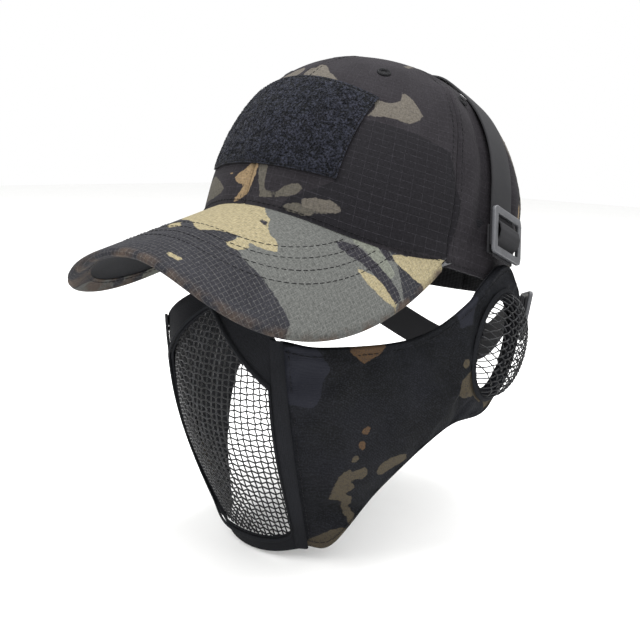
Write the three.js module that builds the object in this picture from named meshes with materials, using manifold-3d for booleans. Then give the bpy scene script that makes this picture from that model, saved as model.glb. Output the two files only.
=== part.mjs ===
// Field cap with a half-face mesh mask hung from it: six-panel cap, curved visor,
// steel-mesh front, padded cheek wings, mesh ear domes, crown strap and neck strap.
// Millimetres, +Z up. The origin is the centre of the cap's head opening, the wearer
// looks along -Y, and the wearer's left side is +X.
import * as THREE from 'three';
import { mergeVertices } from 'three/addons/utils/BufferGeometryUtils.js';
import Module from 'manifold-3d';

const wasm = await Module();
wasm.setup();

const { sin, cos, tan, sqrt, abs, min, max, hypot, PI } = Math;
const rad = (deg) => (deg * PI) / 180;

// ---- driving dimensions ----
const fitGap = 0.3;              // air left between two pieces that are sewn together
const layerGap = 0.4;            // air between two cloth layers of different shape

const crownHalfWidth = 86.5;     // cap opening, half of its width
const crownHalfLength = 93.7;    // cap opening, half of its length
const crownHeight = 113.3;
const crownFullnessFront = 2.43; // superellipse power of the profile, front and back
const crownFullnessBack = 2.3;
const crownLean = -0.02;         // how far the top leans back for each mm of height
const capTilt = 15.9;            // degrees that the cap sits back on the head
const clothThickness = 1.2;
const sideSeam = 71.75;          // seam angles round the crown, from the front centre
const backSeam = 125;
const crownHole = 5;             // radius left open at the top for the button's shank

const visorRadius = 75.7;        // curl of the visor
const visorPitch = 30.7;         // slope of the visor against the cap opening, degrees
const visorHalfWidth = 94.5;
const visorLength = 63.3;
const visorSquareness = 3.1;
const visorEnd = 74;             // angle where the visor runs out on the crown
const visorCoverThickness = 0.8;
const visorBoardThickness = 2.0;
const pipingRadius = 2.4;

const sweatbandHeight = 30;
const sweatbandThickness = 1.5;
const sweatbandEnd = 134;
const backOpeningAngle = 28;     // half angle of the rear half-moon
const backOpeningHeight = 42;
const closureWidth = 16;
const closureThickness = 1.2;

const patchHalfWidth = 45;
const patchBottom = 31;
const patchTop = 84;
const patchDrop = 8;             // how much lower the patch's top corners sit
const patchThickness = 1.2;
const eyeletHeight = 94;
const eyeletRadius = 3.8;

const webbingWidth = 20;
const webbingThickness = 1.2;
const strapLean = 5.4;           // degrees that the crown strap's plane leans back
const strapForward = 5.8;        // where that plane meets the cap opening
const strapLeaves = 0.441 * crownHeight;    // height at which the strap leaves the crown
const strapSlope = 0.003 * crownHalfWidth;  // its run out from the crown below that height
const strapEnd = 17;             // height of its sewn end, behind the glide
const glideHeight = 24;          // centre of the glide
const tabTop = 28;               // height of the ear panel's webbing tab
const glideSlot = 7;
const glideBar = 4;
const glideThickness = 2.4;

const wingSkin = 0.8;
const wingFoam = 2.9;
const wingLining = 0.6;
const earX = crownHalfWidth + 5.5;          // outer face of the ear panel
const earCentre = [9.5, -36];    // centre of the ear dome, Y and Z
const earTilt = 20;              // lean of its long axis
const earHalfHeight = 28;
const earHalfWidth = 17.5;
const earBulge = 14;
const meshThickness = 1.0;
const earRingWidth = 4;
const earRingHeight = 1.8;
const earSeat = 3;               // how far the dome's foot laps over the panel

const surroundThickness = 1.0;
const seamBindingWidth = 7;
const bindingThickness = 1.0;
const maskTop = -6;              // top edge of the front at the nose
const maskBottom = -150;
const meshTop = -17;             // top of the teardrop in the front
const tearHalf = 0.85;           // the teardrop's width, as a share of the front's
const tearShoulder = -52;        // height at which it reaches that width
const tearFloor = -139;
const tearCorner = 8;            // height of its rounded lower corners
const noseSlope = 0.4;           // run of the front above the profile's first point

const neckStart = [earX + 0.9, 34, -22];    // rear edge of the left ear panel
const neckDirection = [-0.66, 0.72, -0.22]; // the strap's way back from the ear panel
const neckRun = 36;                  // straight length before the strap turns
const neckHandle = 26;               // how far the straight run's line still steers the turn
const neckBackHalf = 30;             // half of the nearly flat part behind the neck
const neckBack = [0, 103, -66];      // middle of the strap behind the neck
const neckGlideAt = 20;              // glide's place along the straight run
const neckTabStart = 3.5;             // sewn end of the tab, at the ear panel's edge
const neckJoin = 6;                  // length of the sewn tab before the strap laps it
const neckLap = 8;                   // how far the tab runs on behind the strap

// ---- materials ----
const finishes = {
  ripstop: new THREE.MeshStandardMaterial({ color: 0x3a3a3d, roughness: 0.9 }),
  nylon: new THREE.MeshStandardMaterial({ color: 0x1b1d21, roughness: 0.75 }),
  blackCloth: new THREE.MeshStandardMaterial({ color: 0x101113, roughness: 0.9 }),
  lining: new THREE.MeshStandardMaterial({ color: 0x17181a, roughness: 0.95 }),
  foam: new THREE.MeshStandardMaterial({ color: 0x222224, roughness: 1.0 }),
  board: new THREE.MeshStandardMaterial({ color: 0xd0d0c8, roughness: 0.6 }),
  pile: new THREE.MeshStandardMaterial({ color: 0x16171d, roughness: 1.0 }),
  webbing: new THREE.MeshStandardMaterial({ color: 0x141416, roughness: 0.8 }),
  steelMesh: new THREE.MeshStandardMaterial({ color: 0x0d0e10, roughness: 0.45, metalness: 0.6 }),
  plastic: new THREE.MeshStandardMaterial({ color: 0x3c3d40, roughness: 0.5 }),
};

const set = new THREE.Group();
const cap = new THREE.Group();       // everything drawn in the cap's own level frame
cap.rotation.x = -rad(capTilt);
set.add(cap);

// ---- closed bodies: shared corners merged, thin slivers dropped, faces turned out ----
function weld(loose, tolerance = 1e-4) {
  loose.deleteAttribute('normal');
  loose.deleteAttribute('uv');
  const geometry = mergeVertices(loose, tolerance);
  const index = [...geometry.index.array];
  const kept = [];
  for (let i = 0; i < index.length; i += 3) {
    const [a, b, c] = index.slice(i, i + 3);
    if (a !== b && b !== c && a !== c) kept.push([a, b, c]);
  }
  const at = (i) => new THREE.Vector3().fromBufferAttribute(geometry.attributes.position, i);
  const volume = kept.reduce((sum, [a, b, c]) => sum + at(a).dot(at(b).cross(at(c))), 0);
  geometry.setIndex(kept.map((t) => (volume < 0 ? [t[0], t[2], t[1]] : t)).flat());
  return geometry;
}

function closedGeometry(points, triangles) {
  const geometry = new THREE.BufferGeometry();
  geometry.setAttribute('position', new THREE.Float32BufferAttribute(points.flat(), 3));
  geometry.setIndex(triangles.flat());
  return weld(geometry);
}

// A solid between outer(u, v) and inner(u, v), with u and v from 0 to 1.
function between(outer, inner, nu, nv, ringed = false) {
  const points = [];
  for (const surface of [outer, inner]) {
    for (let i = 0; i <= nu; i += 1) {
      for (let j = 0; j <= nv; j += 1) points.push(surface(ringed && i === nu ? 0 : i / nu, j / nv));
    }
  }
  const side = (nu + 1) * (nv + 1);
  const id = (layer, i, j) => layer * side + i * (nv + 1) + j;
  const triangles = [];
  const quad = (a, b, c, d) => triangles.push([a, b, c], [a, c, d]);
  for (let i = 0; i < nu; i += 1) {
    for (let j = 0; j < nv; j += 1) {
      quad(id(0, i, j), id(0, i + 1, j), id(0, i + 1, j + 1), id(0, i, j + 1));
      quad(id(1, i, j), id(1, i, j + 1), id(1, i + 1, j + 1), id(1, i + 1, j));
    }
    quad(id(0, i, 0), id(1, i, 0), id(1, i + 1, 0), id(0, i + 1, 0));
    quad(id(0, i, nv), id(0, i + 1, nv), id(1, i + 1, nv), id(1, i, nv));
  }
  if (!ringed) {
    for (let j = 0; j < nv; j += 1) {
      quad(id(0, 0, j), id(0, 0, j + 1), id(1, 0, j + 1), id(1, 0, j));
      quad(id(0, nu, j), id(1, nu, j), id(1, nu, j + 1), id(0, nu, j + 1));
    }
  }
  return closedGeometry(points, triangles);
}

function toManifold(geometry) {
  const vertProperties = geometry.attributes.position.array;
  const triVerts = new Uint32Array(geometry.index.array);
  return new wasm.Manifold(new wasm.Mesh({ numProp: 3, vertProperties, triVerts }));
}

function fromManifold(solid) {
  const mesh = solid.getMesh();
  const geometry = new THREE.BufferGeometry();
  geometry.setAttribute('position', new THREE.BufferAttribute(new Float32Array(mesh.vertProperties), 3));
  geometry.setIndex([...mesh.triVerts]);
  return geometry;
}

const vec = (p) => new THREE.Vector3(...p);

// The surface moved outwards along its normal; toward() names the outward side.
function offset(surface, distance, toward) {
  const step = 0.004;
  return (u, v) => {
    const here = vec(surface(u, v));
    const du = vec(surface(u + step, v)).sub(vec(surface(u - step, v)));
    const dv = vec(surface(u, v + step)).sub(vec(surface(u, v - step)));
    const normal = du.cross(dv).normalize();
    if (normal.dot(toward(here)) < 0) normal.negate();
    return here.addScaledVector(normal, distance).toArray();
  };
}

function layer(surface, top, thickness, nu, nv, toward, ringed = false) {
  return between(offset(surface, top, toward), offset(surface, top - thickness, toward), nu, nv, ringed);
}

const mirrorX = (surface) => (u, v) => {
  const [x, y, z] = surface(u, v);
  return [-x, y, z];
};

function addMesh(parent, name, geometry, material) {
  const mesh = new THREE.Mesh(geometry, material);
  mesh.name = name;
  parent.add(mesh);
  return mesh;
}

const sides = [['left', 1], ['right', -1]];

// ---- crown ----
function plan(theta) {
  return 1 / hypot(sin(theta) / crownHalfWidth, cos(theta) / crownHalfLength);
}
const fullness = (theta) =>
  crownFullnessBack + ((crownFullnessFront - crownFullnessBack) * (1 + cos(theta))) / 2;
const curl = crownHalfWidth ** 2 / (2 * visorRadius);
const slope = tan(rad(visorPitch));
const rise = crownHalfLength * slope;
const lowest = min(rise / (2 * curl), 0.95);
const frontLift = curl * (1 - lowest * lowest) - rise * (1 - lowest);

function rimHeight(theta) {
  const t = min(abs(theta), Math.acos(lowest));
  return frontLift - curl * sin(t) ** 2 + rise * (1 - cos(t));
}

function crownAtHeight(theta, z) {
  const power = fullness(theta);
  const rho = plan(theta) * (1 - (max(z, 0) / crownHeight) ** power) ** (1 / power);
  return [rho * sin(theta), -rho * cos(theta) + crownLean * z, z];
}

function crownAtAngle(theta, angle) {
  const power = fullness(theta);
  const rho = plan(theta) * cos(angle) ** (2 / power);
  const z = crownHeight * sin(angle) ** (2 / power);
  return [rho * sin(theta), -rho * cos(theta) + crownLean * z, z];
}

// 1 on the crown's outer face, less inside it.
function crownLevel(x, y, z) {
  const straight = y - crownLean * z;
  const theta = Math.atan2(x, -straight);
  const power = fullness(theta);
  return (hypot(x, straight) / plan(theta)) ** power + (max(z, 0) / crownHeight) ** power;
}

function crownOffset(surface, distance) {
  const step = 0.01;
  return (u, v) => {
    const [x, y, z] = surface(u, v);
    const normal = new THREE.Vector3(
      crownLevel(x + step, y, z) - crownLevel(x - step, y, z),
      crownLevel(x, y + step, z) - crownLevel(x, y - step, z),
      crownLevel(x, y, z + step) - crownLevel(x, y, z - step),
    ).normalize();
    return [x + normal.x * distance, y + normal.y * distance, z + normal.z * distance];
  };
}

function crownLayer(surface, top, thickness, nu, nv) {
  return between(crownOffset(surface, top), crownOffset(surface, top - thickness), nu, nv);
}

const angleAtHeight = (theta, z) => Math.asin(min(1, max(z, 0) / crownHeight) ** (fullness(theta) / 2));

function lowerEdge(theta) {
  const fromBack = abs(180 - abs((theta * 180) / PI)) / backOpeningAngle;
  const arch = fromBack < 1 ? backOpeningHeight * sqrt(1 - fromBack ** 2) : 0;
  return rimHeight(theta) + arch;
}

function crownPatch(fromDeg, toDeg, lower, upper) {
  return (u, v) => {
    const middle = rad(fromDeg + (toDeg - fromDeg) * u);
    const low = angleAtHeight(middle, lower(middle));
    const angle = low + (upper(middle) - low) * v;
    const rho = plan(middle) * max(cos(angle), 0.01) ** (2 / fullness(middle));
    const seam = (fitGap / 2 / rho) * (1 - 2 * u);
    return crownAtAngle(middle + seam, max(angle, 0));
  };
}

const topAngle = (theta) => Math.acos((crownHole / plan(theta)) ** (fullness(theta) / 2));

const panels = [
  ['front_panel', 0, sideSeam, 8],
  ['side_panel', sideSeam, backSeam, 6],
  ['back_panel', backSeam, 180, 8],
];
for (const [side, sign] of sides) {
  for (const [name, from, to, steps] of panels) {
    const surface = crownPatch(from, to, lowerEdge, topAngle);
    const shape = sign > 0 ? surface : mirrorX(surface);
    const solid = crownLayer(shape, 0, clothThickness, steps, 9);
    addMesh(cap, `${name}_${side}`, solid, finishes.ripstop);
  }
}

const sweatInset = clothThickness + 3 * layerGap;
const bandSurface = crownPatch(
  -sweatbandEnd,
  sweatbandEnd,
  rimHeight,
  (theta) => angleAtHeight(theta, rimHeight(theta) + sweatbandHeight),
);
const band = crownLayer(bandSurface, -sweatInset, sweatbandThickness, 30, 3);
addMesh(cap, 'sweatband', band, finishes.blackCloth);

const buckramSurface = crownPatch(
  2 - sideSeam,
  sideSeam - 2,
  (theta) => rimHeight(theta) + sweatbandHeight + 3,
  (theta) => angleAtHeight(theta, 100),
);
const buckram = crownLayer(buckramSurface, -clothThickness - 2 * layerGap, 0.6, 16, 6);
addMesh(cap, 'front_buckram', buckram, finishes.lining);

// ---- top button: cap, shank through the crown, and its inner plate ----
const buttonProfile = [
  [0, -5], [6.5, -5], [6.5, -3.6], [3.5, -3.2], [3.5, 0.9], [7.5, 0.9], [7.2, 2.6], [4.5, 4], [0, 4.6],
].map(([r, z]) => new THREE.Vector2(r, z));
const button = new THREE.LatheGeometry(buttonProfile, 16);
button.rotateX(PI / 2);
const buttonMesh = addMesh(cap, 'top_button', weld(button, 1e-3), finishes.ripstop);
buttonMesh.position.set(0, crownLean * crownHeight, crownHeight);

// ---- eyelets ----
const eyeletAngles = [
  ['front', sideSeam / 2], ['side', sideSeam + 14], ['back', (backSeam + 180) / 2],
];
const eyeletProfile = [
  [eyeletRadius, 0], [eyeletRadius, 0.4], [eyeletRadius - 0.6, 1],
  [eyeletRadius / 2, 1], [eyeletRadius / 2, 0], [eyeletRadius, 0],
].map(([r, z]) => new THREE.Vector2(r, z));
for (const [side, sign] of sides) {
  for (const [where, degrees] of eyeletAngles) {
    const ring = new THREE.LatheGeometry(eyeletProfile, 12);
    const surface = (u, v) => crownAtHeight(rad(degrees + u), eyeletHeight + v);
    const low = vec(crownOffset(surface, layerGap)(0, 0));
    const high = vec(crownOffset(surface, layerGap + 1)(0, 0));
    for (const point of [low, high]) point.x *= sign;
    const mesh = addMesh(cap, `eyelet_${where}_${side}`, weld(ring, 1e-3), finishes.blackCloth);
    mesh.position.copy(low);
    mesh.quaternion.setFromUnitVectors(new THREE.Vector3(0, 1, 0), high.sub(low).normalize());
  }
}

// ---- loop patch on the front panels ----
function patchSurface(u, v) {
  const x = patchHalfWidth * (2 * u - 1);
  const across = (x / patchHalfWidth) ** 2;
  const z = patchBottom - 2 * across + (patchTop - patchBottom - (patchDrop - 2) * across) * v;
  let theta = 0;
  for (let i = 0; i < 12; i += 1) {
    const [px, py] = crownAtHeight(theta, z);
    theta = Math.asin(max(-1, min(1, x / hypot(px, py - crownLean * z))));
  }
  return crownAtHeight(theta, z);
}
const patch = crownLayer(patchSurface, layerGap + patchThickness, patchThickness, 12, 6);
addMesh(cap, 'loop_patch', patch, finishes.pile);

// ---- rear closure: a sewn strap inside the crown and a hook strap over it ----
function closureSurface(fromDeg, toDeg) {
  return (u, v) => crownAtHeight(rad(fromDeg + (toDeg - fromDeg) * u), 0.5 + closureWidth * v);
}
const fixedStrap = crownLayer(
  closureSurface(-sweatbandEnd - 3, -190), -clothThickness - 2.5 * layerGap, closureThickness, 10, 2,
);
addMesh(cap, 'closure_strap_right', fixedStrap, finishes.webbing);
const peelStart = 143;
const peelStrap = crownLayer(
  closureSurface(peelStart, 196), layerGap + closureThickness, closureThickness, 10, 2,
);
addMesh(cap, 'closure_strap_left', peelStrap, finishes.webbing);

// ---- visor ----
function visorSurface(inset) {
  return (u, v) => {
    const turn = PI * (0.004 + 0.992 * u);
    const forward = sin(turn) ** (2 / visorSquareness);
    const theta = rad(visorEnd) * (1 - 2 * u);
    const edge = crownAtHeight(theta, max(rimHeight(theta), 0));
    const root = crownAtHeight(rad(visorEnd), 0);
    const reach = visorLength + crownHalfLength + root[1] - inset;
    const half = visorHalfWidth - inset - (visorHalfWidth - root[0]) * (1 - forward) ** 3;
    const across = cos(turn);
    const out = [
      half * Math.sign(across) * abs(across) ** (2 / visorSquareness),
      root[1] - reach * forward,
    ];
    const start = 1 + (3 * layerGap) / crownHalfWidth;
    const x = edge[0] * start + (out[0] - edge[0] * start) * v;
    const y = edge[1] * start + (out[1] - edge[1] * start) * v;
    return [x, y, frontLift - x ** 2 / (2 * visorRadius) + (y + crownHalfLength) * slope];
  };
}
const upward = () => new THREE.Vector3(0, -0.3, 1);
const visorInset = 2 * pipingRadius + layerGap;
const visorBody = visorSurface(visorInset);
const boardTop = -visorCoverThickness - fitGap;
const underTop = boardTop - visorBoardThickness - fitGap;
const visorLayers = [
  ['visor_cover', 0, visorCoverThickness, finishes.ripstop],
  ['visor_board', boardTop, visorBoardThickness, finishes.board],
  ['visor_under_cover', underTop, visorCoverThickness, finishes.blackCloth],
];
for (const [name, top, thickness, material] of visorLayers) {
  addMesh(cap, name, layer(visorBody, top, thickness, 20, 3, upward), material);
}

const pipingDepth = (visorCoverThickness * 2 + visorBoardThickness + 2 * fitGap) / 2;
function visorPipingSection(u, turn) {
  const middle = vec(offset(visorSurface(pipingRadius), -pipingDepth, upward)(u, 1));
  const inner = vec(offset(visorSurface(2 * pipingRadius), -pipingDepth, upward)(u, 1));
  const across = middle.clone().sub(inner).normalize();
  const above = vec(offset(visorSurface(pipingRadius), -pipingDepth + 1, upward)(u, 1)).sub(middle);
  return middle.addScaledVector(across, pipingRadius * cos(turn))
    .addScaledVector(above.normalize(), pipingRadius * sin(turn)).toArray();
}
const piping = between(
  (u, v) => visorPipingSection(0.012 + 0.976 * u, PI * v),
  (u, v) => visorPipingSection(0.012 + 0.976 * u, -PI * v),
  28, 3,
);
addMesh(cap, 'visor_edge_piping', piping, finishes.ripstop);

// ---- webbing, as a ribbon along a path ----
// frame(u) gives the middle, the width direction and the outward normal.
function ribbon(frame, width, thickness, steps) {
  const face = (level) => (u, v) => {
    const { at, across, normal } = frame(u);
    const sideways = at.clone().addScaledVector(across, (v - 0.5) * width);
    return sideways.addScaledVector(normal, level).toArray();
  };
  return between(face(thickness / 2), face(-thickness / 2), steps, 1);
}

// ---- crown strap: over the crown in a leaning plane, straight below strapLeaves ----
const planeUp = new THREE.Vector3(0, sin(rad(strapLean)), cos(rad(strapLean)));
const planeAcross = new THREE.Vector3(0, cos(rad(strapLean)), -sin(rad(strapLean)));
const planeFoot = new THREE.Vector3(0, strapForward, 0);

function strapCrownRadius(angle) {
  let inside = 0;
  let outside = 2 * crownHeight;
  for (let i = 0; i < 40; i += 1) {
    const reach = (inside + outside) / 2;
    const p = planeFoot.clone().addScaledVector(planeUp, reach * sin(angle));
    p.x = reach * cos(angle);
    if (crownLevel(p.x, p.y, p.z) < 1) inside = reach;
    else outside = reach;
  }
  return inside;
}

const strapLift = 2 * layerGap + webbingThickness / 2;
let leaveAngle = 0.2;
for (let i = 0; i < 30; i += 1) leaveAngle = Math.asin(strapLeaves / strapCrownRadius(leaveAngle));
const leaveX = strapCrownRadius(leaveAngle) * cos(leaveAngle) + strapLift;

function runPoint(height, level = 0) {
  const p = planeFoot.clone().addScaledVector(planeUp, height);
  p.x = leaveX + strapSlope * (strapLeaves - height);
  return p.addScaledVector(runNormal(), level);
}
function runNormal() {
  return new THREE.Vector3(1, 0, 0).addScaledVector(planeUp, strapSlope).normalize();
}

const archSteps = 30;
const runHeights = [strapEnd, strapLeaves - 2];
function crownStrapFrame(u) {
  const k = Math.round(u * (archSteps + 4));
  const place = k < 2 ? k : k > archSteps + 2 ? archSteps + 4 - k : -1;
  if (place >= 0) {
    const at = runPoint(runHeights[place]);
    const normal = runNormal();
    if (k > archSteps / 2) {
      at.x = -at.x;
      normal.x = -normal.x;
    }
    return { at, normal, across: planeAcross };
  }
  const angle = leaveAngle + ((PI - 2 * leaveAngle) * (k - 2)) / archSteps;
  const hit = (a) => {
    const p = planeFoot.clone().addScaledVector(planeUp, strapCrownRadius(a) * sin(a));
    p.x = strapCrownRadius(a) * cos(a);
    return p;
  };
  const along = hit(angle + 0.01).sub(hit(angle - 0.01)).normalize();
  const normal = along.clone().cross(planeAcross).negate();
  if (normal.dot(hit(angle).sub(planeFoot)) < 0) normal.negate();
  return { at: hit(angle).addScaledVector(normal, strapLift), normal, across: planeAcross };
}
const crownRibbon = ribbon(crownStrapFrame, webbingWidth, webbingThickness, archSteps + 4);
addMesh(cap, 'crown_strap', crownRibbon, finishes.webbing);

const lapLevel = -webbingThickness - layerGap;
const earTopHeight = 13;       // where the tab meets the ear panel's top edge
for (const [side, sign] of sides) {
  const frame = (u) => {
    const at = runPoint(earTopHeight + (tabTop - earTopHeight) * u, lapLevel);
    const normal = runNormal();
    at.x *= sign;
    normal.x *= sign;
    return { at, normal, across: planeAcross };
  };
  addMesh(cap, `ear_tab_${side}`, ribbon(frame, webbingWidth, webbingThickness, 2), finishes.webbing);
}

// ---- three-bar glide and the webbing woven through it, in the strap's own frame ----
// X runs along the strap, Y across it and Z away from the wearer.
const glideLevel = webbingThickness / 2 + layerGap + webbingThickness + layerGap;
function glideSolid() {
  const length = 3 * glideBar + 2 * glideSlot;
  const width = webbingWidth + 8;
  const corner = 2.5;
  const outline = [];
  for (let quarter = 0; quarter < 4; quarter += 1) {
    const right = quarter === 0 || quarter === 3 ? 1 : -1;
    const upper = quarter < 2 ? 1 : -1;
    for (let step = 0; step < 4; step += 1) {
      const turn = (quarter + step / 3) * (PI / 2);
      const x = right * (length / 2 - corner) + corner * cos(turn);
      outline.push(new THREE.Vector2(x, upper * (width / 2 - corner) + corner * sin(turn)));
    }
  }
  const pressed = { depth: glideThickness, bevelEnabled: false };
  const plate = new THREE.ExtrudeGeometry(new THREE.Shape(outline), pressed);
  let solid = toManifold(weld(plate, 1e-3));
  for (const sign of [1, -1]) {
    const slot = new THREE.BoxGeometry(glideSlot, webbingWidth + 1.6, 4 * glideThickness);
    slot.translate((sign * (glideBar + glideSlot)) / 2, 0, 0);
    solid = solid.subtract(toManifold(weld(slot)));
  }
  return fromManifold(solid).translate(0, 0, glideLevel);
}

function glideLoop() {
  const low = webbingThickness + layerGap;
  const high = glideLevel + glideThickness + layerGap + webbingThickness / 2 + 0.2;
  const reach = glideBar / 2 + glideSlot;
  const stops = [
    [-reach - 5, low], [-reach + 0.4, low], [-glideBar / 2 - 0.6, high - 0.2], [0, high],
    [glideBar / 2 + 0.6, high - 0.2], [reach - 0.4, low], [reach + 5, low],
  ];
  const frame = (u) => {
    const k = Math.round(u * (stops.length - 1));
    return {
      at: new THREE.Vector3(stops[k][0], 0, stops[k][1]),
      across: new THREE.Vector3(0, 1, 0),
      normal: new THREE.Vector3(0, 0, 1),
    };
  };
  return ribbon(frame, webbingWidth - 0.6, webbingThickness, stops.length - 1);
}

function addGlide(parent, name, at, along, normal) {
  const across = normal.clone().cross(along).normalize();
  const frame = new THREE.Group();
  frame.matrixAutoUpdate = false;
  frame.matrix.makeBasis(along, across, normal).setPosition(at);
  frame.matrixWorldNeedsUpdate = true;
  parent.add(frame);
  addMesh(frame, `${name}_glide`, glideSolid(), finishes.plastic);
  addMesh(frame, `${name}_glide_webbing`, glideLoop(), finishes.webbing);
}

for (const [side, sign] of sides) {
  const at = runPoint(glideHeight);
  const along = runPoint(glideHeight + 1).sub(at).normalize();
  const normal = runNormal();
  for (const direction of [at, along, normal]) direction.x *= sign;
  addGlide(cap, `crown_${side}`, at, along, normal);
}

// ---- cheek wing: stations from the cheek seam to the rear of the ear panel ----
// Each station gives the top edge, the middle and the bottom edge of the outer face,
// with X as a share of the ear panel's.
const wingStations = [
  [[0.457, -102, -27], [0.435, -91.5, -82], [0.348, -68.5, -143.7]],
  [[0.63, -86, -30], [0.609, -76, -82], [0.467, -59, -142]],
  [[0.853, -42, -28], [0.837, -40, -68], [0.674, -46, -110]],
  [[0.989, -12, -11], [1, -13, -46], [0.902, -20, -78.5]],
  [[1, 16, 6], [1, 14, -33], [1, 4, -71]],
  [[1, 30, -8], [1, 33, -24], [1, 28, -48]],
].map((station) => station.map(([share, y, z]) => [share * earX, y, z]));

function catmull(values, s) {
  const last = values.length - 1;
  const i = min(last - 1, max(0, Math.floor(s * last)));
  const t = s * last - i;
  const at = (k) => {
    if (k < 0) return 2 * values[0] - values[1];
    return k > last ? 2 * values[last] - values[last - 1] : values[k];
  };
  const [p0, p1, p2, p3] = [at(i - 1), at(i), at(i + 1), at(i + 2)];
  return 0.5 * (2 * p1 + (p2 - p0) * t + (2 * p0 - 5 * p1 + 4 * p2 - p3) * t ** 2
    + (3 * p1 - p0 - 3 * p2 + p3) * t ** 3);
}

function wingSurface(s, t) {
  const point = [0, 1, 2].map((axis) => {
    const [a, b, c] = [0, 1, 2].map((row) => catmull(wingStations.map((st) => st[row][axis]), s));
    return a * (1 - t) * (1 - 2 * t) + 4 * b * t * (1 - t) + c * t * (2 * t - 1);
  });
  point[0] = min(point[0], earX + 1e-3 * (point[0] - earX));
  return point;
}
const awayFromHead = (p) => new THREE.Vector3(Math.sign(p.x) * max(abs(p.x), 1), p.y * 0.6, 0);

// The ear dome's long axis leans back at the top.
function earPoint(angle, scaleUp, scaleAcross, x) {
  const up = scaleUp * cos(angle);
  const across = scaleAcross * sin(angle);
  const lean = rad(earTilt);
  return [
    x,
    earCentre[0] + up * sin(lean) - across * cos(lean),
    earCentre[1] + up * cos(lean) + across * sin(lean),
  ];
}

const wingDepth = wingSkin + wingFoam + wingLining + 2 * fitGap;
const holeMargin = 4;            // how far the cutter stands out of the panel
const holeFace = (x) => (u, v) =>
  earPoint(2 * PI * u, (earHalfHeight - earSeat) * v, (earHalfWidth - earSeat) * v, x);
const earHole = between(holeFace(earX + holeMargin), holeFace(earX - wingDepth - holeMargin), 20, 1, true);

const wingLayers = [
  ['cheek_wing', 0, wingSkin, finishes.nylon],
  ['wing_foam', -wingSkin - fitGap, wingFoam, finishes.foam],
  ['wing_lining', -wingSkin - wingFoam - 2 * fitGap, wingLining, finishes.lining],
];
const wingPatch = (u, v) => wingSurface(0.004 + 0.996 * u, v);
for (const [name, top, thickness, material] of wingLayers) {
  const whole = layer(wingPatch, top, thickness, 12, 4, awayFromHead);
  const open = fromManifold(toManifold(whole).subtract(toManifold(earHole)));
  for (const [side, sign] of sides) {
    const half = open.clone();
    if (sign < 0) {
      half.scale(-1, 1, 1);
      const index = half.index.array;
      for (let i = 0; i < index.length; i += 3) [index[i], index[i + 1]] = [index[i + 1], index[i]];
    }
    addMesh(set, `${name}_${side}`, half, material);
  }
}

// ---- ear domes and the rings that bind them to the panel ----
function domeSurface(inset) {
  return (u, v) => {
    const k = sin((PI / 2) * v);
    const height = (earBulge - inset) * max(0, 1 - k ** 2.5) ** 0.5;
    const x = earX + fitGap + height;
    return earPoint(2 * PI * u, (earHalfHeight - inset) * k, (earHalfWidth - inset) * k, x);
  };
}
const ringSurface = (level) => (u, v) => earPoint(
  2 * PI * u,
  earHalfHeight + layerGap + earRingWidth * v,
  earHalfWidth + layerGap + earRingWidth * v,
  earX + fitGap + level,
);
for (const [side, sign] of sides) {
  const turn = sign > 0 ? (surface) => surface : mirrorX;
  const dome = between(turn(domeSurface(0)), turn(domeSurface(meshThickness)), 20, 4, true);
  addMesh(set, `ear_dome_${side}`, dome, finishes.steelMesh);
  const ring = between(turn(ringSurface(earRingHeight)), turn(ringSurface(0)), 20, 1, true);
  addMesh(set, `ear_dome_ring_${side}`, ring, finishes.nylon);
}

// ---- front of the mask ----
// w runs from -1 to 1 between the cheek seams, which the front shares with the wings.
const seamPoint = (t) => wingSurface(0, t);
function seamAtHeight(z) {
  let low = -0.3;
  let high = 1.3;
  for (let i = 0; i < 40; i += 1) {
    const t = (low + high) / 2;
    if (seamPoint(t)[2] > z) low = t;
    else high = t;
  }
  return seamPoint(low);
}
// Z and Y of the front's middle line, from the nose down to the chin.
const profile = [[-6, -104], [-30, -113], [-60, -117], [-85, -112.5], [-115, -98], [-150, -78]];
function centreAtHeight(z) {
  const [top, foremost] = profile[0];
  if (z > top) return foremost + (top - z) * noseSlope;
  let low = 0;
  let high = 1;
  for (let i = 0; i < 40; i += 1) {
    const s = (low + high) / 2;
    if (catmull(profile.map((p) => p[0]), s) > z) low = s;
    else high = s;
  }
  return catmull(profile.map((p) => p[1]), low);
}
function frontPoint(w, z) {
  const [x, y] = seamAtHeight(z);
  return [w * x, y - (y - centreAtHeight(z)) * (1 - abs(w) ** 2.2), z];
}
const frontTop = (w) => maskTop + (seamPoint(0)[2] - maskTop) * abs(w) ** 1.6;
const frontBottom = (w) => maskBottom + (seamPoint(1)[2] - maskBottom) * abs(w) ** 2;
const forward = (p) => new THREE.Vector3(p.x, -80, 0);
const frontEdge = 0.985;
const seamReach = 40;            // half width of the front at the seams

// The opening is a teardrop: a point at the nose, full width below the cheekbones.
function tearPoint(angle, grow, widen = grow) {
  const turn = ((angle % (2 * PI)) + 2 * PI) % (2 * PI);
  const right = turn < PI ? 1 : -1;
  const t = right > 0 ? turn / PI : 2 - turn / PI;   // 0 at the nose, 1 at the chin
  const half = tearHalf + widen / seamReach;
  if (t < 0.3) {
    const k = t / 0.3;
    return [right * half * k ** 0.8, meshTop + grow + (tearShoulder - meshTop) * k];
  }
  if (t < 0.75) {
    const drop = tearFloor + tearCorner - tearShoulder;
    return [right * half, tearShoulder + grow + drop * ((t - 0.3) / 0.45)];
  }
  const k = (t - 0.75) / 0.25;
  const z = tearFloor + tearCorner - (tearCorner + grow) * sin((PI / 2) * k);
  return [right * half * cos((PI / 2) * k) ** 0.5, z];
}

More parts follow.
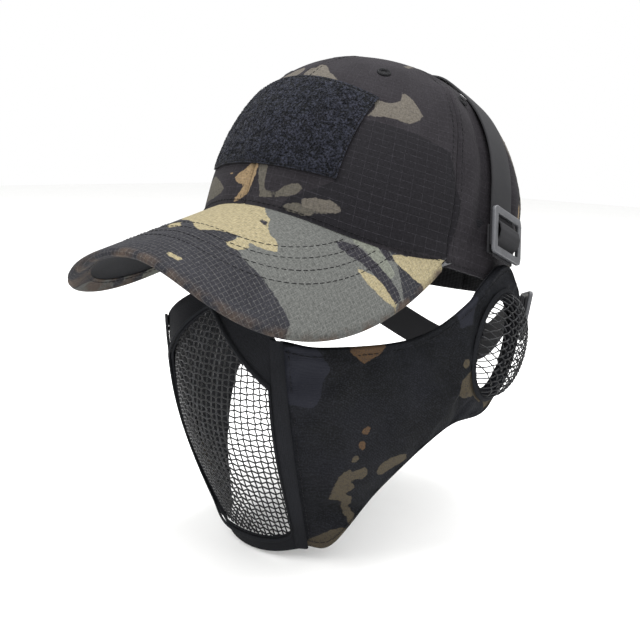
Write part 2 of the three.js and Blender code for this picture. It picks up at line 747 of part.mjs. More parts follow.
function outerEdgePoint(angle) {
  const turn = ((angle % (2 * PI)) + 2 * PI) % (2 * PI);
  const right = turn < PI ? 1 : -1;
  const t = right > 0 ? turn / PI : 2 - turn / PI;
  if (t < 0.25) {
    const w = frontEdge * (t / 0.25);
    return [right * w, frontTop(w)];
  }
  if (t < 0.8) {
    const z = frontTop(frontEdge) + (frontBottom(frontEdge) - frontTop(frontEdge)) * ((t - 0.25) / 0.55);
    return [right * frontEdge, z];
  }
  const w = frontEdge * (1 - (t - 0.8) / 0.2);
  return [right * w, frontBottom(w)];
}

const surroundSurface = (u, v) => {
  const inner = tearPoint(2 * PI * u, 0);
  const outer = outerEdgePoint(2 * PI * u);
  return frontPoint(inner[0] + (outer[0] - inner[0]) * v, inner[1] + (outer[1] - inner[1]) * v);
};
const surround = layer(surroundSurface, 0, surroundThickness, 36, 2, forward, true);
addMesh(set, 'mask_surround', surround, finishes.blackCloth);

const meshSurface = (u, v) => {
  const [w, z] = tearPoint(2 * PI * u, 2);
  return frontPoint(w * v, -85 + (z + 85) * v);
};
const meshLevel = -surroundThickness - 2 * layerGap;
const meshShell = layer(meshSurface, meshLevel, meshThickness, 28, 4, forward, true);
addMesh(set, 'front_mesh', meshShell, finishes.steelMesh);

const trimSurface = (u, v) => {
  const [w, z] = tearPoint(2 * PI * u, 0.3 + 3 * v, 0.3 + v);
  return frontPoint(w, z);
};
const trim = layer(trimSurface, 2 * layerGap + bindingThickness, bindingThickness, 36, 1, forward, true);
addMesh(set, 'mesh_edge_binding', trim, finishes.blackCloth);

// ---- binding over each cheek seam ----
for (const [side, sign] of sides) {
  const row = (t, part) => {
    const seam = vec(seamPoint(t));
    const half = seamBindingWidth / 2;
    if (part === 0) return vec(frontPoint(1 - half / seam.x, seam.z));
    return part === 1 ? seam : vec(wingSurface(half / 130, t));
  };
  const face = (level) => (u, v) => {
    const part = Math.round(v * 2);
    const t = 0.02 + 0.96 * u;
    const [a, b, c] = [row(t, 0), row(t, 1), row(t, 2)];
    const along = vec(seamPoint(t + 0.01)).sub(vec(seamPoint(t - 0.01)));
    const normal = c.clone().sub(a).cross(along).normalize();
    if (normal.dot(new THREE.Vector3(1, -1, 0)) < 0) normal.negate();
    const p = [a, b, c][part].addScaledVector(normal, level);
    return [sign * p.x, p.y, p.z];
  };
  const base = layerGap + 0.2;
  const strip = between(face(base + bindingThickness), face(base), 12, 2);
  addMesh(set, `cheek_seam_binding_${side}`, strip, finishes.blackCloth);
}

// ---- neck strap: straight runs from the ear panels, then round behind the neck ----
const neckAlong = vec(neckDirection).normalize();
const neckLean = new THREE.Vector3(0, -neckAlong.z, neckAlong.y).normalize();
const neckNormal = neckAlong.clone().cross(neckLean).normalize();

function neckRunPoint(length, level = 0) {
  return vec(neckStart).addScaledVector(neckAlong, length).addScaledVector(neckNormal, level);
}
const bezier = new THREE.CubicBezierCurve3(
  neckRunPoint(neckRun),
  neckRunPoint(neckRun + neckHandle),
  new THREE.Vector3(neckBackHalf, neckBack[1], neckBack[2]),
  vec(neckBack),
);
const neckSteps = 9;
function neckFrame(u) {
  const total = 2 * neckSteps + 2;
  const k = Math.round(u * total);
  const half = min(k, total - k);
  const sign = k <= total / 2 ? 1 : -1;
  const at = half === 0 ? neckRunPoint(neckJoin) : bezier.getPoint((half - 1) / neckSteps);
  const along = half === 0 ? neckAlong.clone() : bezier.getTangent((half - 1) / neckSteps);
  const blend = half === 0 ? 0 : (half - 1) / neckSteps;
  const across = neckLean.clone().multiplyScalar(1 - blend).add(new THREE.Vector3(0, 0, blend));
  across.addScaledVector(along, -across.dot(along)).normalize();
  const normal = along.clone().cross(across).normalize();
  if (normal.dot(new THREE.Vector3(at.x, at.y - 20, 0)) < 0) normal.negate();
  for (const p of [at, across, normal]) p.x *= sign;
  return { at, across, normal };
}
const neckRibbon = ribbon(neckFrame, webbingWidth, webbingThickness, 2 * neckSteps + 2);
addMesh(set, 'neck_strap', neckRibbon, finishes.webbing);

for (const [side, sign] of sides) {
  const across = neckLean.clone();
  const normal = neckNormal.clone();
  for (const p of [across, normal]) p.x *= sign;
  const frame = (u) => {
    const at = neckRunPoint(neckTabStart + (neckJoin + neckLap - neckTabStart) * u, lapLevel);
    at.x *= sign;
    return { at, across, normal };
  };
  addMesh(set, `neck_tab_${side}`, ribbon(frame, webbingWidth, webbingThickness, 2), finishes.webbing);
  const along = neckAlong.clone();
  along.x *= sign;
  const at = neckRunPoint(neckGlideAt);
  at.x *= sign;
  addGlide(set, `neck_${side}`, at, along, normal);
}

export default set;
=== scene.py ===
import bpy, random
from math import sin, cos, tan, pi, sqrt, radians, degrees, hypot, atan2, acos, asin, floor, exp
from mathutils import Matrix, Vector, noise


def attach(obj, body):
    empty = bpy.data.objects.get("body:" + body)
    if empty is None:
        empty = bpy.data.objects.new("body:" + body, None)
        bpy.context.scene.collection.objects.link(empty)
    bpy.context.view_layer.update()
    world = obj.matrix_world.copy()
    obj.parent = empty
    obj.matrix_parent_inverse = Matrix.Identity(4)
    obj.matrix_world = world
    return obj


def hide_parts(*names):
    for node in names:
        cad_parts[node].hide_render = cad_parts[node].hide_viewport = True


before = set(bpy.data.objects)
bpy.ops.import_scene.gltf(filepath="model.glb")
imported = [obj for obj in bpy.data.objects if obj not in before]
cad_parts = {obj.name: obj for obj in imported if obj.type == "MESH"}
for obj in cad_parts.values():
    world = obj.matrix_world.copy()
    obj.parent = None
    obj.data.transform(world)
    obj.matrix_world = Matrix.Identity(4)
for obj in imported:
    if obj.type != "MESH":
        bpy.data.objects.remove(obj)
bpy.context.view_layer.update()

random.seed(11)
mm = 0.001


def sign(value):
    return (value > 0) - (value < 0)


def clamp(value, low=0.0, high=1.0):
    return max(low, min(high, value))


def smooth(value, start, end):
    k = clamp((value - start) / (end - start))
    return k * k * (3 - 2 * k)


def bell(value, middle, width):
    return exp(-((value - middle) / width) ** 2)


# camera, first
view = dict(azimuth=41.17, elevation=7.32, roll=2.02, distance=0.54239, lens=52.5, shiftX=-0.0555,
            shiftY=-0.0948)


def addCamera():
    turn, rise, roll = (radians(view[k]) for k in ("azimuth", "elevation", "roll"))
    back = Vector((sin(turn) * cos(rise), -cos(turn) * cos(rise), sin(rise)))
    right = Vector((cos(turn), sin(turn), 0))
    up = back.cross(right)
    across = right * cos(roll) + up * sin(roll)
    upward = up * cos(roll) - right * sin(roll)
    data = bpy.data.cameras.new("main_camera")
    data.lens, data.sensor_width, data.clip_start = view["lens"], 36, 0.02
    data.shift_x, data.shift_y = view["shiftX"], view["shiftY"]
    camera = bpy.data.objects.new("main_camera", data)
    bpy.context.collection.objects.link(camera)
    place = back * view["distance"]
    camera.matrix_world = Matrix([(across[i], upward[i], back[i], place[i]) for i in range(3)] + [(0, 0, 0, 1)])
    bpy.context.scene.camera = camera


addCamera()


# making pieces
def only(piece):
    bpy.ops.object.select_all(action="DESELECT")
    piece.select_set(True)
    bpy.context.view_layer.objects.active = piece


def newGrid(name, columns, rows, surface, size=(1, 1)):
    bpy.ops.object.select_all(action="DESELECT")
    bpy.ops.mesh.primitive_grid_add(x_subdivisions=columns, y_subdivisions=rows, size=2, calc_uvs=True)
    piece = bpy.context.object
    piece.name = piece.data.name = name
    for vertex in piece.data.vertices:
        vertex.co = surface((vertex.co.x + 1) / 2, (vertex.co.y + 1) / 2)
    for corner in piece.data.uv_layers.active.data:
        corner.uv = (corner.uv[0] * size[0] * mm, corner.uv[1] * size[1] * mm)
    return piece


def apply(piece, kind, **values):
    only(piece)
    modifier = piece.modifiers.new(kind.lower(), kind)
    for key, value in values.items():
        setattr(modifier, key, value)
    bpy.ops.object.modifier_apply(modifier=modifier.name)


def smoothShade(piece, angle=50):
    only(piece)
    bpy.ops.object.shade_smooth_by_angle(angle=radians(angle))


def onWholeMesh(piece, operator, **values):
    only(piece)
    bpy.ops.object.mode_set(mode="EDIT")
    bpy.ops.mesh.select_all(action="SELECT")
    operator(**values)
    bpy.ops.object.mode_set(mode="OBJECT")


def weldSeam(piece, distance=0.02):
    onWholeMesh(piece, bpy.ops.mesh.remove_doubles, threshold=distance * mm)


def faceOut(piece):
    onWholeMesh(piece, bpy.ops.mesh.normals_make_consistent, inside=False)


def flipFaces(piece):
    onWholeMesh(piece, bpy.ops.mesh.flip_normals)


def dress(piece, material, body, slot, *nodes):
    piece.data.materials.clear()
    piece.data.materials.append(material)
    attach(piece, body)
    if nodes:
        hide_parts(*nodes)
    return piece


def newThreads(name, runs, radius, sides=2):
    curve = bpy.data.curves.new(name, "CURVE")
    curve.dimensions, curve.bevel_depth, curve.bevel_resolution = "3D", radius * mm, sides - 1
    curve.use_fill_caps = True
    for run in runs:
        spline = curve.splines.new("POLY")
        spline.points.add(len(run) - 1)
        for point, place in zip(spline.points, run):
            point.co = (*place, 1)
    piece = bpy.data.objects.new(name, curve)
    bpy.context.collection.objects.link(piece)
    only(piece)
    bpy.ops.object.convert(target="MESH")
    piece = bpy.context.object
    bpy.ops.object.shade_smooth()
    return piece


# samples are (place, normal) along a row, in metres
def stitches(samples, length=2.5, gap=0.8, lift=0.22, sink=0.25):
    runs, travelled, marks = [], 0.0, []
    for (a, _), (b, _) in zip(samples, samples[1:]):
        marks.append(travelled)
        travelled += (b - a).length
    marks.append(travelled)

    def at(distance):
        for i in range(len(marks) - 1):
            if marks[i + 1] >= distance:
                k = (distance - marks[i]) / max(marks[i + 1] - marks[i], 1e-9)
                return samples[i][0].lerp(samples[i + 1][0], k), samples[i][1]
        return samples[-1]

    start = 0.3 * mm
    while start + length * mm < travelled:
        run = []
        for k, height in ((0, -sink), (0.12, lift * 0.7), (0.5, lift), (0.88, lift * 0.7), (1, -sink)):
            place, normal = at(start + k * length * mm)
            run.append(place + normal * (height * mm))
        runs.append(run)
        start += (length + gap) * mm
    return runs


# shape of the crown, as in the frame
crown = dict(halfWidth=86.5, halfLength=93.7, height=113.3, front=2.43, back=2.3, lean=-0.02, tilt=15.9,
             sideSeam=71.75, backSeam=125, hole=5, cloth=1.1)
visor = dict(radius=75.7, pitch=30.7, halfWidth=94.5, length=63.3, squareness=3.1, end=74,
             rows=(19, 24.6, 30.2, 35.8))
tiltSin, tiltCos = sin(radians(crown["tilt"])), cos(radians(crown["tilt"]))


def toRow(x, y, z):
    return Vector((x, y * tiltCos + z * tiltSin, -y * tiltSin + z * tiltCos)) * mm


def turnRow(v):
    return Vector((v[0], v[1] * tiltCos + v[2] * tiltSin, -v[1] * tiltSin + v[2] * tiltCos))


def metres(p):
    return Vector(p) * mm


def plan(theta):
    return 1 / sqrt((sin(theta) / crown["halfWidth"]) ** 2 + (cos(theta) / crown["halfLength"]) ** 2)


def fullness(theta):
    return crown["back"] + (crown["front"] - crown["back"]) * (1 + cos(theta)) / 2


curl = crown["halfWidth"] ** 2 / (2 * visor["radius"])
slope = tan(radians(visor["pitch"]))
rise = crown["halfLength"] * slope
lowest = min(rise / (2 * curl), 0.95)
frontLift = curl * (1 - lowest ** 2) - rise * (1 - lowest)


def rimHeight(theta):
    t = min(abs(theta), acos(lowest))
    return frontLift - curl * sin(t) ** 2 + rise * (1 - cos(t))


def lowerEdge(theta):
    fromBack = abs(180 - abs(degrees(theta))) / 28
    return rimHeight(theta) + (42 * sqrt(1 - fromBack ** 2) if fromBack < 1 else 0)


def crownAtHeight(theta, z):
    power = fullness(theta)
    rho = plan(theta) * (1 - (clamp(z, 0, crown["height"]) / crown["height"]) ** power) ** (1 / power)
    return rho * sin(theta), -rho * cos(theta) + crown["lean"] * z, z


def crownAtAngle(theta, angle):
    power = fullness(theta)
    rho = plan(theta) * max(cos(angle), 0.0) ** (2 / power)
    z = crown["height"] * max(sin(angle), 0.0) ** (2 / power)
    return rho * sin(theta), -rho * cos(theta) + crown["lean"] * z, z


def angleAtHeight(theta, z):
    return asin(clamp(z / crown["height"]) ** (fullness(theta) / 2))


def crownLevel(x, y, z):
    straight = y - crown["lean"] * z
    theta = atan2(x, -straight)
    power = fullness(theta)
    return (hypot(x, straight) / plan(theta)) ** power + (max(z, 0) / crown["height"]) ** power


def crownNormal(x, y, z):
    s = 0.01
    return Vector((crownLevel(x + s, y, z) - crownLevel(x - s, y, z),
                   crownLevel(x, y + s, z) - crownLevel(x, y - s, z),
                   crownLevel(x, y, z + s) - crownLevel(x, y, z - s))).normalized()


seamAngles = (0, crown["sideSeam"], crown["backSeam"], 180, -crown["sideSeam"], -crown["backSeam"], -180)
seamRow = 3.3     # top stitching, each side of a seam


# seams, hem and soft folds, millimetres along the normal
def crownRelief(x, y, z):
    straight = y - crown["lean"] * z
    theta = degrees(atan2(x, -straight))
    rho = hypot(x, straight)
    seam = min(abs(theta - a) for a in seamAngles) * pi / 180 * rho
    nearTop = smooth(rho, 6, 22)
    relief = -0.75 * bell(seam, 0, 0.7) + 0.32 * bell(seam, 1.9, 1.0) * nearTop
    relief -= 0.3 * bell(seam, seamRow, 0.45) * nearTop
    relief += 0.16 * nearTop * sin(z * 1.15 + theta) * bell(seam, 4.6, 2.6)      # puckers beside the rows
    side = abs(theta)
    spot = Vector((x, y, z))
    roughCloth = noise.noise(spot / 24 + Vector((3, 1, 7)))
    fine = noise.noise(spot / 9 + Vector((9, 4, 2)))
    free = smooth(side, 52, 80) * smooth(z, 0, 12) * (1 - 0.6 * smooth(z, 80, 105))
    relief += (0.55 * roughCloth + 0.16 * fine) * (0.35 + free) - 0.35 * free
    fold = bell(side, 84 + 0.09 * z, 4.2) * smooth(z, 2, 26) * (1 - smooth(z, 78, 100))
    relief -= 2.1 * fold                                                          # dent behind the side seam
    relief -= 1.2 * bell(side, 112 - 0.12 * z, 3.4) * smooth(z, 8, 30) * (1 - smooth(z, 66, 92))
    relief -= 0.7 * bell(z, 16 + 0.16 * (side - 76), 3.0) * smooth(side, 52, 66) * (1 - smooth(side, 84, 100))
    height = smooth(z, 14, 48) * (1 - smooth(z, 84, 104))
    # cloth swells behind the strap
    relief += 4.2 * height * smooth(side, 102, 116) * (1 - smooth(side, 128, 158))
    relief += 2.4 * bell(side, 71, 7) * smooth(z, 50, 78) * (1 - smooth(z, 92, 103))
    relief -= 1.8 * bell(side, 93, 9) * height
    return relief


def crownPoint(place, lift=0.0, relief=True):
    x, y, z = place
    normal = crownNormal(x, y, z)
    away = lift + (crownRelief(x, y, z) if relief else 0)
    return toRow(x + normal.x * away, y + normal.y * away, z + normal.z * away)


def crownSample(theta, z, lift=0.0):
    place = crownAtHeight(theta, z)
    return crownPoint(place, lift), turnRow(crownNormal(*place))


# camouflage: each field is a depth in millimetres, above zero inside a patch
def depth(polygon, x, y):
    inside, nearest = False, 1e9
    for (ax, ay), (bx, by) in zip(polygon, polygon[1:] + polygon[:1]):
        if (ay > y) != (by > y) and x < (bx - ax) * (y - ay) / (by - ay) + ax:
            inside = not inside
        dx, dy = bx - ax, by - ay
        k = clamp(((x - ax) * dx + (y - ay) * dy) / max(dx * dx + dy * dy, 1e-9))
        nearest = min(nearest, hypot(x - ax - dx * k, y - ay - dy * k))
    return nearest if inside else -nearest


# fields: name -> polygons in the domain's plane; loose(name, place) adds patches elsewhere
def paintFields(piece, fields, domain, loose=None):
    for name, polygons in fields.items():
        layer = piece.data.attributes.new(name, "FLOAT", "POINT")
        boxes = [(min(p[0] for p in g) - 6, max(p[0] for p in g) + 6,
                  min(p[1] for p in g) - 6, max(p[1] for p in g) + 6, g) for g in polygons]
        for vertex, value in zip(piece.data.vertices, layer.data):
            x, y = domain(vertex.co)
            best = -6.0
            for lowX, highX, lowY, highY, polygon in boxes:
                if lowX < x < highX and lowY < y < highY:
                    best = max(best, depth(polygon, x, y))
            if loose:
                best = max(best, loose(name, vertex.co))
            value.value = best


# depth of free-form patches, millimetres
def patches(spot, scale, threshold, seed, stretch=(1, 1, 1)):
    v = Vector((spot.x * stretch[0], spot.y * stretch[1], spot.z * stretch[2])) / (scale * mm)
    value = (noise.noise(v + Vector((seed, seed * 2.3, -seed)))
             + 0.35 * noise.noise(v * 2.3 + Vector((seed, 4, 9))))
    return (value - threshold) * scale * 0.5


crownFields = dict(
    olive=[[(29, 15), (33, 17), (38, 18), (45, 18), (50, 16), (50, 13), (47, 12), (39, 11.5), (33, 12)],
           [(0, 83), (-4, 90), (3, 95), (10, 93), (18, 88), (30, 82), (36, 79), (36, 76), (29, 77), (18, 80),
            (10, 80)],
           [(-29, 85), (-20, 91), (-14, 93), (-7, 90), (-10, 83), (-20, 82)],
           [(52, 65), (55, 71), (53, 75), (63, 75), (69, 78), (69, 84), (74, 82), (78, 79), (84, 73),
            (80, 69), (75, 66), (66, 67), (58, 66)]],
    grey=[[(3, 31), (9, 31), (9.5, 22), (11, 18), (17, 17), (22, 22), (28, 23.5), (30, 21.5), (29, 19),
           (26, 17), (18, 15), (9, 14), (7, 19)],
          [(21, 10), (25, 13), (29, 14), (39, 12), (47, 12), (34, 8)],
          [(-49, 22), (-38, 25), (-26, 21), (-18, 16), (-29, 12), (-45, 10)]],
    sand=[[(-19, 26), (-10, 25), (-6, 27.5), (-2, 31), (3.2, 31), (3, 24), (2, 18), (0, 14), (-7, 9.5),
           (-9, 11), (-5, 14), (-3, 20), (-8, 20), (-12, 23)]],
    dark=[[(42, 62), (60, 63), (78, 62), (102, 58), (112, 30), (108, 4), (60, 2), (30, 5), (20, 8), (24, 16),
           (36, 22), (44, 28)],
          [(-60, 70), (-40, 82), (-30, 60), (-44, 34), (-70, 28)]],
)


def crownDomain(co):
    y = co.y * tiltCos - co.z * tiltSin
    z = (co.y * tiltSin + co.z * tiltCos) / mm
    return degrees(atan2(co.x, -(y - crown["lean"] * z * mm))) * 1.5, z


def crownLoose(name, co):
    across, z = crownDomain(co)
    open_ = max(smooth(across, 150, 176), smooth(-across, 34, 60), smooth(z, 96, 104) * 0.8)
    threshold = dict(olive=0.30, grey=0.34, sand=0.47, dark=0.16)[name]
    seed = dict(olive=3.1, grey=8.2, sand=5.7, dark=1.4)[name]
    return patches(co, 30, threshold + (1 - open_) * 2, seed, (1, 1, 0.7))


visorFields = dict(
    grey=[[(-24, -84), (-22, -89), (-5, -99), (12, -103), (24, -110), (30, -122), (40, -124), (46, -124),
           (56, -122), (68, -121), (76, -120), (80, -126), (88, -130), (98, -118), (98, -62), (93, -66),
           (91, -63), (85, -60), (76, -56), (66, -56), (60, -56), (50, -60), (36, -74), (12, -84)],
          [(-70, -80), (-50, -92), (-44, -108), (-62, -112), (-80, -96)]],
    sand=[[(-24, -92), (-22, -88), (3, -93), (14, -92), (20, -96), (26, -98), (31, -103), (36, -105),
           (41, -105), (47, -108), (45, -111), (39, -115), (33, -116), (29, -117), (24, -119), (16, -122),
           (12, -126), (8, -126), (5, -125), (-4, -120), (-19, -115), (-30, -104)],
          [(28, -125), (30, -121), (28, -117), (33, -116), (36, -117), (38, -118), (37.5, -123), (33, -125)],
          [(-18, -121), (-11, -121), (-4, -126), (-8, -129), (-15, -126)],
          [(18, -148), (23, -146.6), (28, -146), (28, -148), (22, -149.4)],
          [(68, -78), (72, -74), (77, -69), (82, -66.5), (90, -64.5), (88, -69), (82, -73), (76, -76.5)],
          [(71, -57), (72, -52), (75, -48), (74, -42), (76, -37), (79, -34), (86, -24), (95, -22), (95, -40),
           (89, -44), (85, -50), (80, -53), (76, -55.5)]],
    olive=[[(57, -72), (58, -62), (62, -60), (67, -61), (77, -59.5), (80, -62), (78, -65), (71, -67),
            (64, -68)],
           [(-88, -60), (-80, -52), (-70, -70), (-80, -84), (-92, -76)]],
    dark=[[(54, -80), (56, -75.5), (60, -71), (66, -68.5), (73, -65.5), (79, -63.5), (84, -62.4), (92, -63),
           (92, -66), (86, -67), (80, -68.4), (74, -71), (68, -74), (63, -78), (60, -78.6), (58, -80)],
          [(22, -101), (27, -100), (30, -102.5), (25, -103)],
          [(60, -58), (74, -56), (72, -60), (66, -61)]],
)


def visorLoose(name, co):
    open_ = smooth(-co.x / mm, 34, 56)
    threshold = dict(olive=0.4, grey=0.42, sand=0.62, dark=0.5)[name]
    return patches(co, 26, threshold + (1 - open_) * 2, dict(olive=2.2, grey=6.1, sand=9.4, dark=4.4)[name])


wingFields = dict(
    sand=[[(-75, -32), (-70, -25), (-57, -24), (-57, -31), (-60, -34), (-64, -36.5), (-68, -38.5),
           (-71, -37)],
          [(-66.5, -72), (-65, -70.5), (-63, -71), (-62.6, -73.6), (-64, -75.2), (-66, -74.4)],
          [(-67, -79), (-65, -78), (-63.4, -80), (-63, -82.4), (-64.4, -84), (-66.4, -82)]],
    olive=[[(-68, -87), (-66, -85.8), (-64.6, -87.6), (-66, -90), (-68.2, -89.6)],
           [(-70, -95), (-68, -93.6), (-66, -95.4), (-64, -94.6), (-61, -93.2), (-59, -95), (-58.6, -98),
            (-60, -100), (-65, -99.6), (-65.6, -101), (-62.6, -104), (-63, -106.6), (-66, -107.2),
            (-65, -109), (-62, -110), (-60.6, -113), (-59, -117), (-54, -124), (-54, -132), (-60, -120),
            (-65, -113), (-70.4, -112), (-71.6, -104), (-71.4, -98)],
           [(-54.4, -96), (-53, -92.6), (-49, -90), (-44, -88.4), (-40, -89), (-38.6, -92), (-40, -94),
            (-44, -96.4), (-50, -99), (-53, -98.6)],
           [(-70, -142), (-69, -138), (-64, -133), (-58, -131), (-52, -132), (-54, -142), (-62, -148),
            (-70, -150)],
           [(-17, -60), (-15, -51), (-11, -45), (-8, -52), (-5, -57), (1, -64), (-3, -65), (-8, -60.6),
            (-14, -61)],
           [(-18, -43), (-17, -40), (-14.6, -40), (-14, -43), (-16, -45.4)],
           [(0, -65), (6, -62), (10, -64), (9, -68), (2, -69)]],
    grey=[[(-100, -30), (-90, -28), (-84, -40), (-88, -60), (-99, -58)],
          [(-22, -6), (-10, -2), (-4, 4), (-12, -22), (-20, -24)]],
)
print("shapes ready")


# materials
def tint(code, alpha=1.0):
    parts = [int(code[i:i + 2], 16) / 255 for i in (1, 3, 5)]
    return tuple(p / 12.92 if p <= 0.04045 else ((p + 0.055) / 1.055) ** 2.4 for p in parts) + (alpha,)


def newMaterial(name, roughness, sheen=0.0, metallic=0.0, specular=0.4):
    material = bpy.data.materials.new(name)
    material.use_nodes = True
    shader = material.node_tree.nodes["Principled BSDF"]
    shader.inputs["Roughness"].default_value = roughness
    shader.inputs["Metallic"].default_value = metallic
    shader.inputs["Specular IOR Level"].default_value = specular
    shader.inputs["Sheen Weight"].default_value = sheen
    shader.inputs["Sheen Roughness"].default_value = 0.4
    return material, material.node_tree, shader


def calc(tree, operation, *values):
    item = tree.nodes.new("ShaderNodeMath")
    item.operation = operation
    for socket, value in zip(item.inputs, values):
        if isinstance(value, (int, float)):
            socket.default_value = value
        else:
            tree.links.new(value, socket)
    return item.outputs[0]


def mixColour(tree, factor, first, second, kind="MIX"):
    item = tree.nodes.new("ShaderNodeMix")
    item.data_type, item.blend_type = "RGBA", kind
    for socket, value in ((item.inputs[0], factor), (item.inputs[6], first), (item.inputs[7], second)):
        if isinstance(value, (int, float, tuple)):
            socket.default_value = value
        else:
            tree.links.new(value, socket)
    return item.outputs[2]


def remap(tree, value, low, high, toLow=0.0, toHigh=1.0):
    item = tree.nodes.new("ShaderNodeMapRange")
    tree.links.new(value, item.inputs[0])
    for socket, number in zip(item.inputs[1:5], (low, high, toLow, toHigh)):
        socket.default_value = number
    return item.outputs[0]


def objectSpace(tree):
    return tree.nodes.new("ShaderNodeTexCoord").outputs["Object"]


def uvSpace(tree):
    return tree.nodes.new("ShaderNodeTexCoord").outputs["UV"]


def scaled(tree, vector, scale):
    item = tree.nodes.new("ShaderNodeMapping")
    tree.links.new(vector, item.inputs["Vector"])
    item.inputs["Scale"].default_value = scale
    return item.outputs[0]


def noiseOf(tree, vector, scale, detail=2.0):
    item = tree.nodes.new("ShaderNodeTexNoise")
    tree.links.new(vector, item.inputs["Vector"])
    item.inputs["Scale"].default_value, item.inputs["Detail"].default_value = scale, detail
    return item.outputs["Fac"]


def parts(tree, vector):
    item = tree.nodes.new("ShaderNodeSeparateXYZ")
    tree.links.new(vector, item.inputs[0])
    return item.outputs


# 0 to 1, one crest for each pitch
def waves(tree, value, pitch):
    turned = calc(tree, "SINE", calc(tree, "MULTIPLY", value, 2 * pi / (pitch * mm)))
    return calc(tree, "MULTIPLY_ADD", turned, 0.5, 0.5)


# 1 on a line every pitch, 0 between
def lines(tree, value, pitch, width):
    return remap(tree, calc(tree, "PINGPONG", value, pitch * mm / 2), width * mm * 0.5, width * mm, 1.0, 0.0)


def attribute(tree, name):
    item = tree.nodes.new("ShaderNodeAttribute")
    item.attribute_name = name
    return item.outputs["Fac"]


def bump(tree, shader, height, strength, distance):
    item = tree.nodes.new("ShaderNodeBump")
    item.inputs["Strength"].default_value, item.inputs["Distance"].default_value = strength, distance * mm
    tree.links.new(height, item.inputs["Height"])
    tree.links.new(item.outputs[0], shader.inputs["Normal"])


def camoCloth(name, look):
    material, tree, shader = newMaterial(name, look["roughness"], specular=0.12)
    place, uv = objectSpace(tree), uvSpace(tree)
    x, y, _ = parts(tree, uv)
    wobble = calc(tree, "MULTIPLY_ADD", noiseOf(tree, place, 420, 3), 1.8, -0.9)
    mottled = remap(tree, noiseOf(tree, place, 55, 3), 0.35, 0.65)
    colour = mixColour(tree, mottled, tint(look["base"]), tint(look["base2"]))
    for field, shade in look["layers"]:
        inside = calc(tree, "ADD", attribute(tree, field), wobble)
        colour = mixColour(tree, remap(tree, inside, -0.18, 0.18), colour, tint(shade))
    # painted shade: the rolled visor edge and its underside are mixed in patches towards a dark brown
    if look.get("shadedEdge"):
        wearAndShade = calc(tree, "MULTIPLY", attribute(tree, "wearAndShade"),
                    remap(tree, noiseOf(tree, place, 90, 4), 0.42, 0.62))
        colour = mixColour(tree, wearAndShade, colour, tint("#3d342e"))
    yarn = noiseOf(tree, scaled(tree, uv, (1, 0.3, 1)), look["yarn"], 2)
    yarn2 = noiseOf(tree, scaled(tree, uv, (0.3, 1, 1)), look["yarn"], 2)
    speckle = calc(tree, "ADD", calc(tree, "MULTIPLY", yarn, 0.5), calc(tree, "MULTIPLY", yarn2, 0.5))
    shadeBy = remap(tree, speckle, 0.32, 0.68, 1 - look["speckle"], 1 + look["speckle"])
    bright = tree.nodes.new("ShaderNodeVectorMath")
    bright.operation = "SCALE"
    tree.links.new(colour, bright.inputs[0])
    tree.links.new(shadeBy, bright.inputs["Scale"])
    grid = calc(tree, "MAXIMUM", lines(tree, x, look["gridX"], 0.16), lines(tree, y, look["gridY"], 0.16))
    broken = remap(tree, noiseOf(tree, uv, 900, 2), 0.38, 0.6)
    colour = mixColour(tree, calc(tree, "MULTIPLY", calc(tree, "MULTIPLY", grid, broken), look["gridTint"]),
                       bright.outputs[0], tint(look["gridColour"]))
    tree.links.new(colour, shader.inputs["Base Color"])
    weave = calc(tree, "MULTIPLY", waves(tree, x, 0.56), waves(tree, y, 0.56))
    height = calc(tree, "ADD", calc(tree, "MULTIPLY", weave, 0.35), calc(tree, "MULTIPLY", grid, 0.55))
    height = calc(tree, "ADD", height, calc(tree, "MULTIPLY", speckle, 0.9))
    bump(tree, shader, height, look["bump"], 0.22)
    return material


crownCloth = camoCloth("crown_ripstop", dict(
    roughness=0.9, base="#19171a", base2="#201e21", yarn=1600, speckle=0.38, bump=0.6,
    gridX=6.4, gridY=3.1, gridTint=0.2, gridColour="#4c4a50",
    layers=[("dark", "#141316"), ("grey", "#423f39"), ("olive", "#4a4640"), ("sand", "#6a5a44")]))
visorCloth = camoCloth("visor_ripstop", dict(
    roughness=0.9, base="#1c1c20", base2="#222226", yarn=1500, speckle=0.46, bump=0.6,
    gridX=2.9, gridY=2.5, gridTint=0.26, gridColour="#80807c", shadedEdge=True,
    layers=[("grey", "#454644"), ("olive", "#53554e"), ("sand", "#726a53"), ("dark", "#1c1b20")]))


def nylonCloth(name):
    material, tree, shader = newMaterial(name, 0.7, specular=0.07)
    place = objectSpace(tree)
    x, y, z = parts(tree, place)
    colour = mixColour(tree, remap(tree, noiseOf(tree, place, 40, 3), 0.38, 0.62), tint("#08090a"),
                       tint("#0e0f12"))
    wobble = calc(tree, "MULTIPLY_ADD", noiseOf(tree, place, 380, 3), 1.8, -0.9)
    for field, shade in (("grey", "#191a20"), ("olive", "#3d372c"), ("sand", "#443424")):
        inside = calc(tree, "ADD", attribute(tree, field), wobble)
        colour = mixColour(tree, remap(tree, inside, -0.2, 0.2), colour, tint(shade))
    run = calc(tree, "SUBTRACT", y, calc(tree, "MULTIPLY", x, 0.8))       # distance along the cheek
    rib = waves(tree, calc(tree, "ADD", run, z), 1.1)
    cross = waves(tree, calc(tree, "SUBTRACT", run, z), 1.1)
    weave = calc(tree, "MULTIPLY", rib, calc(tree, "MULTIPLY_ADD", cross, 0.6, 0.4))
    glint = calc(tree, "MULTIPLY", remap(tree, noiseOf(tree, place, 1300, 2), 0.46, 0.66), 0.5)
    lit = mixColour(tree, calc(tree, "MULTIPLY", weave, 0.5), colour, tint("#1c1d21"), "ADD")
    lit = mixColour(tree, 0.4, colour, lit)
    tree.links.new(mixColour(tree, glint, lit, tint("#212227")), shader.inputs["Base Color"])
    tree.links.new(remap(tree, noiseOf(tree, place, 60, 3), 0.3, 0.7, 0.6, 0.8), shader.inputs["Roughness"])
    bump(tree, shader, weave, 0.6, 0.12)
    return material


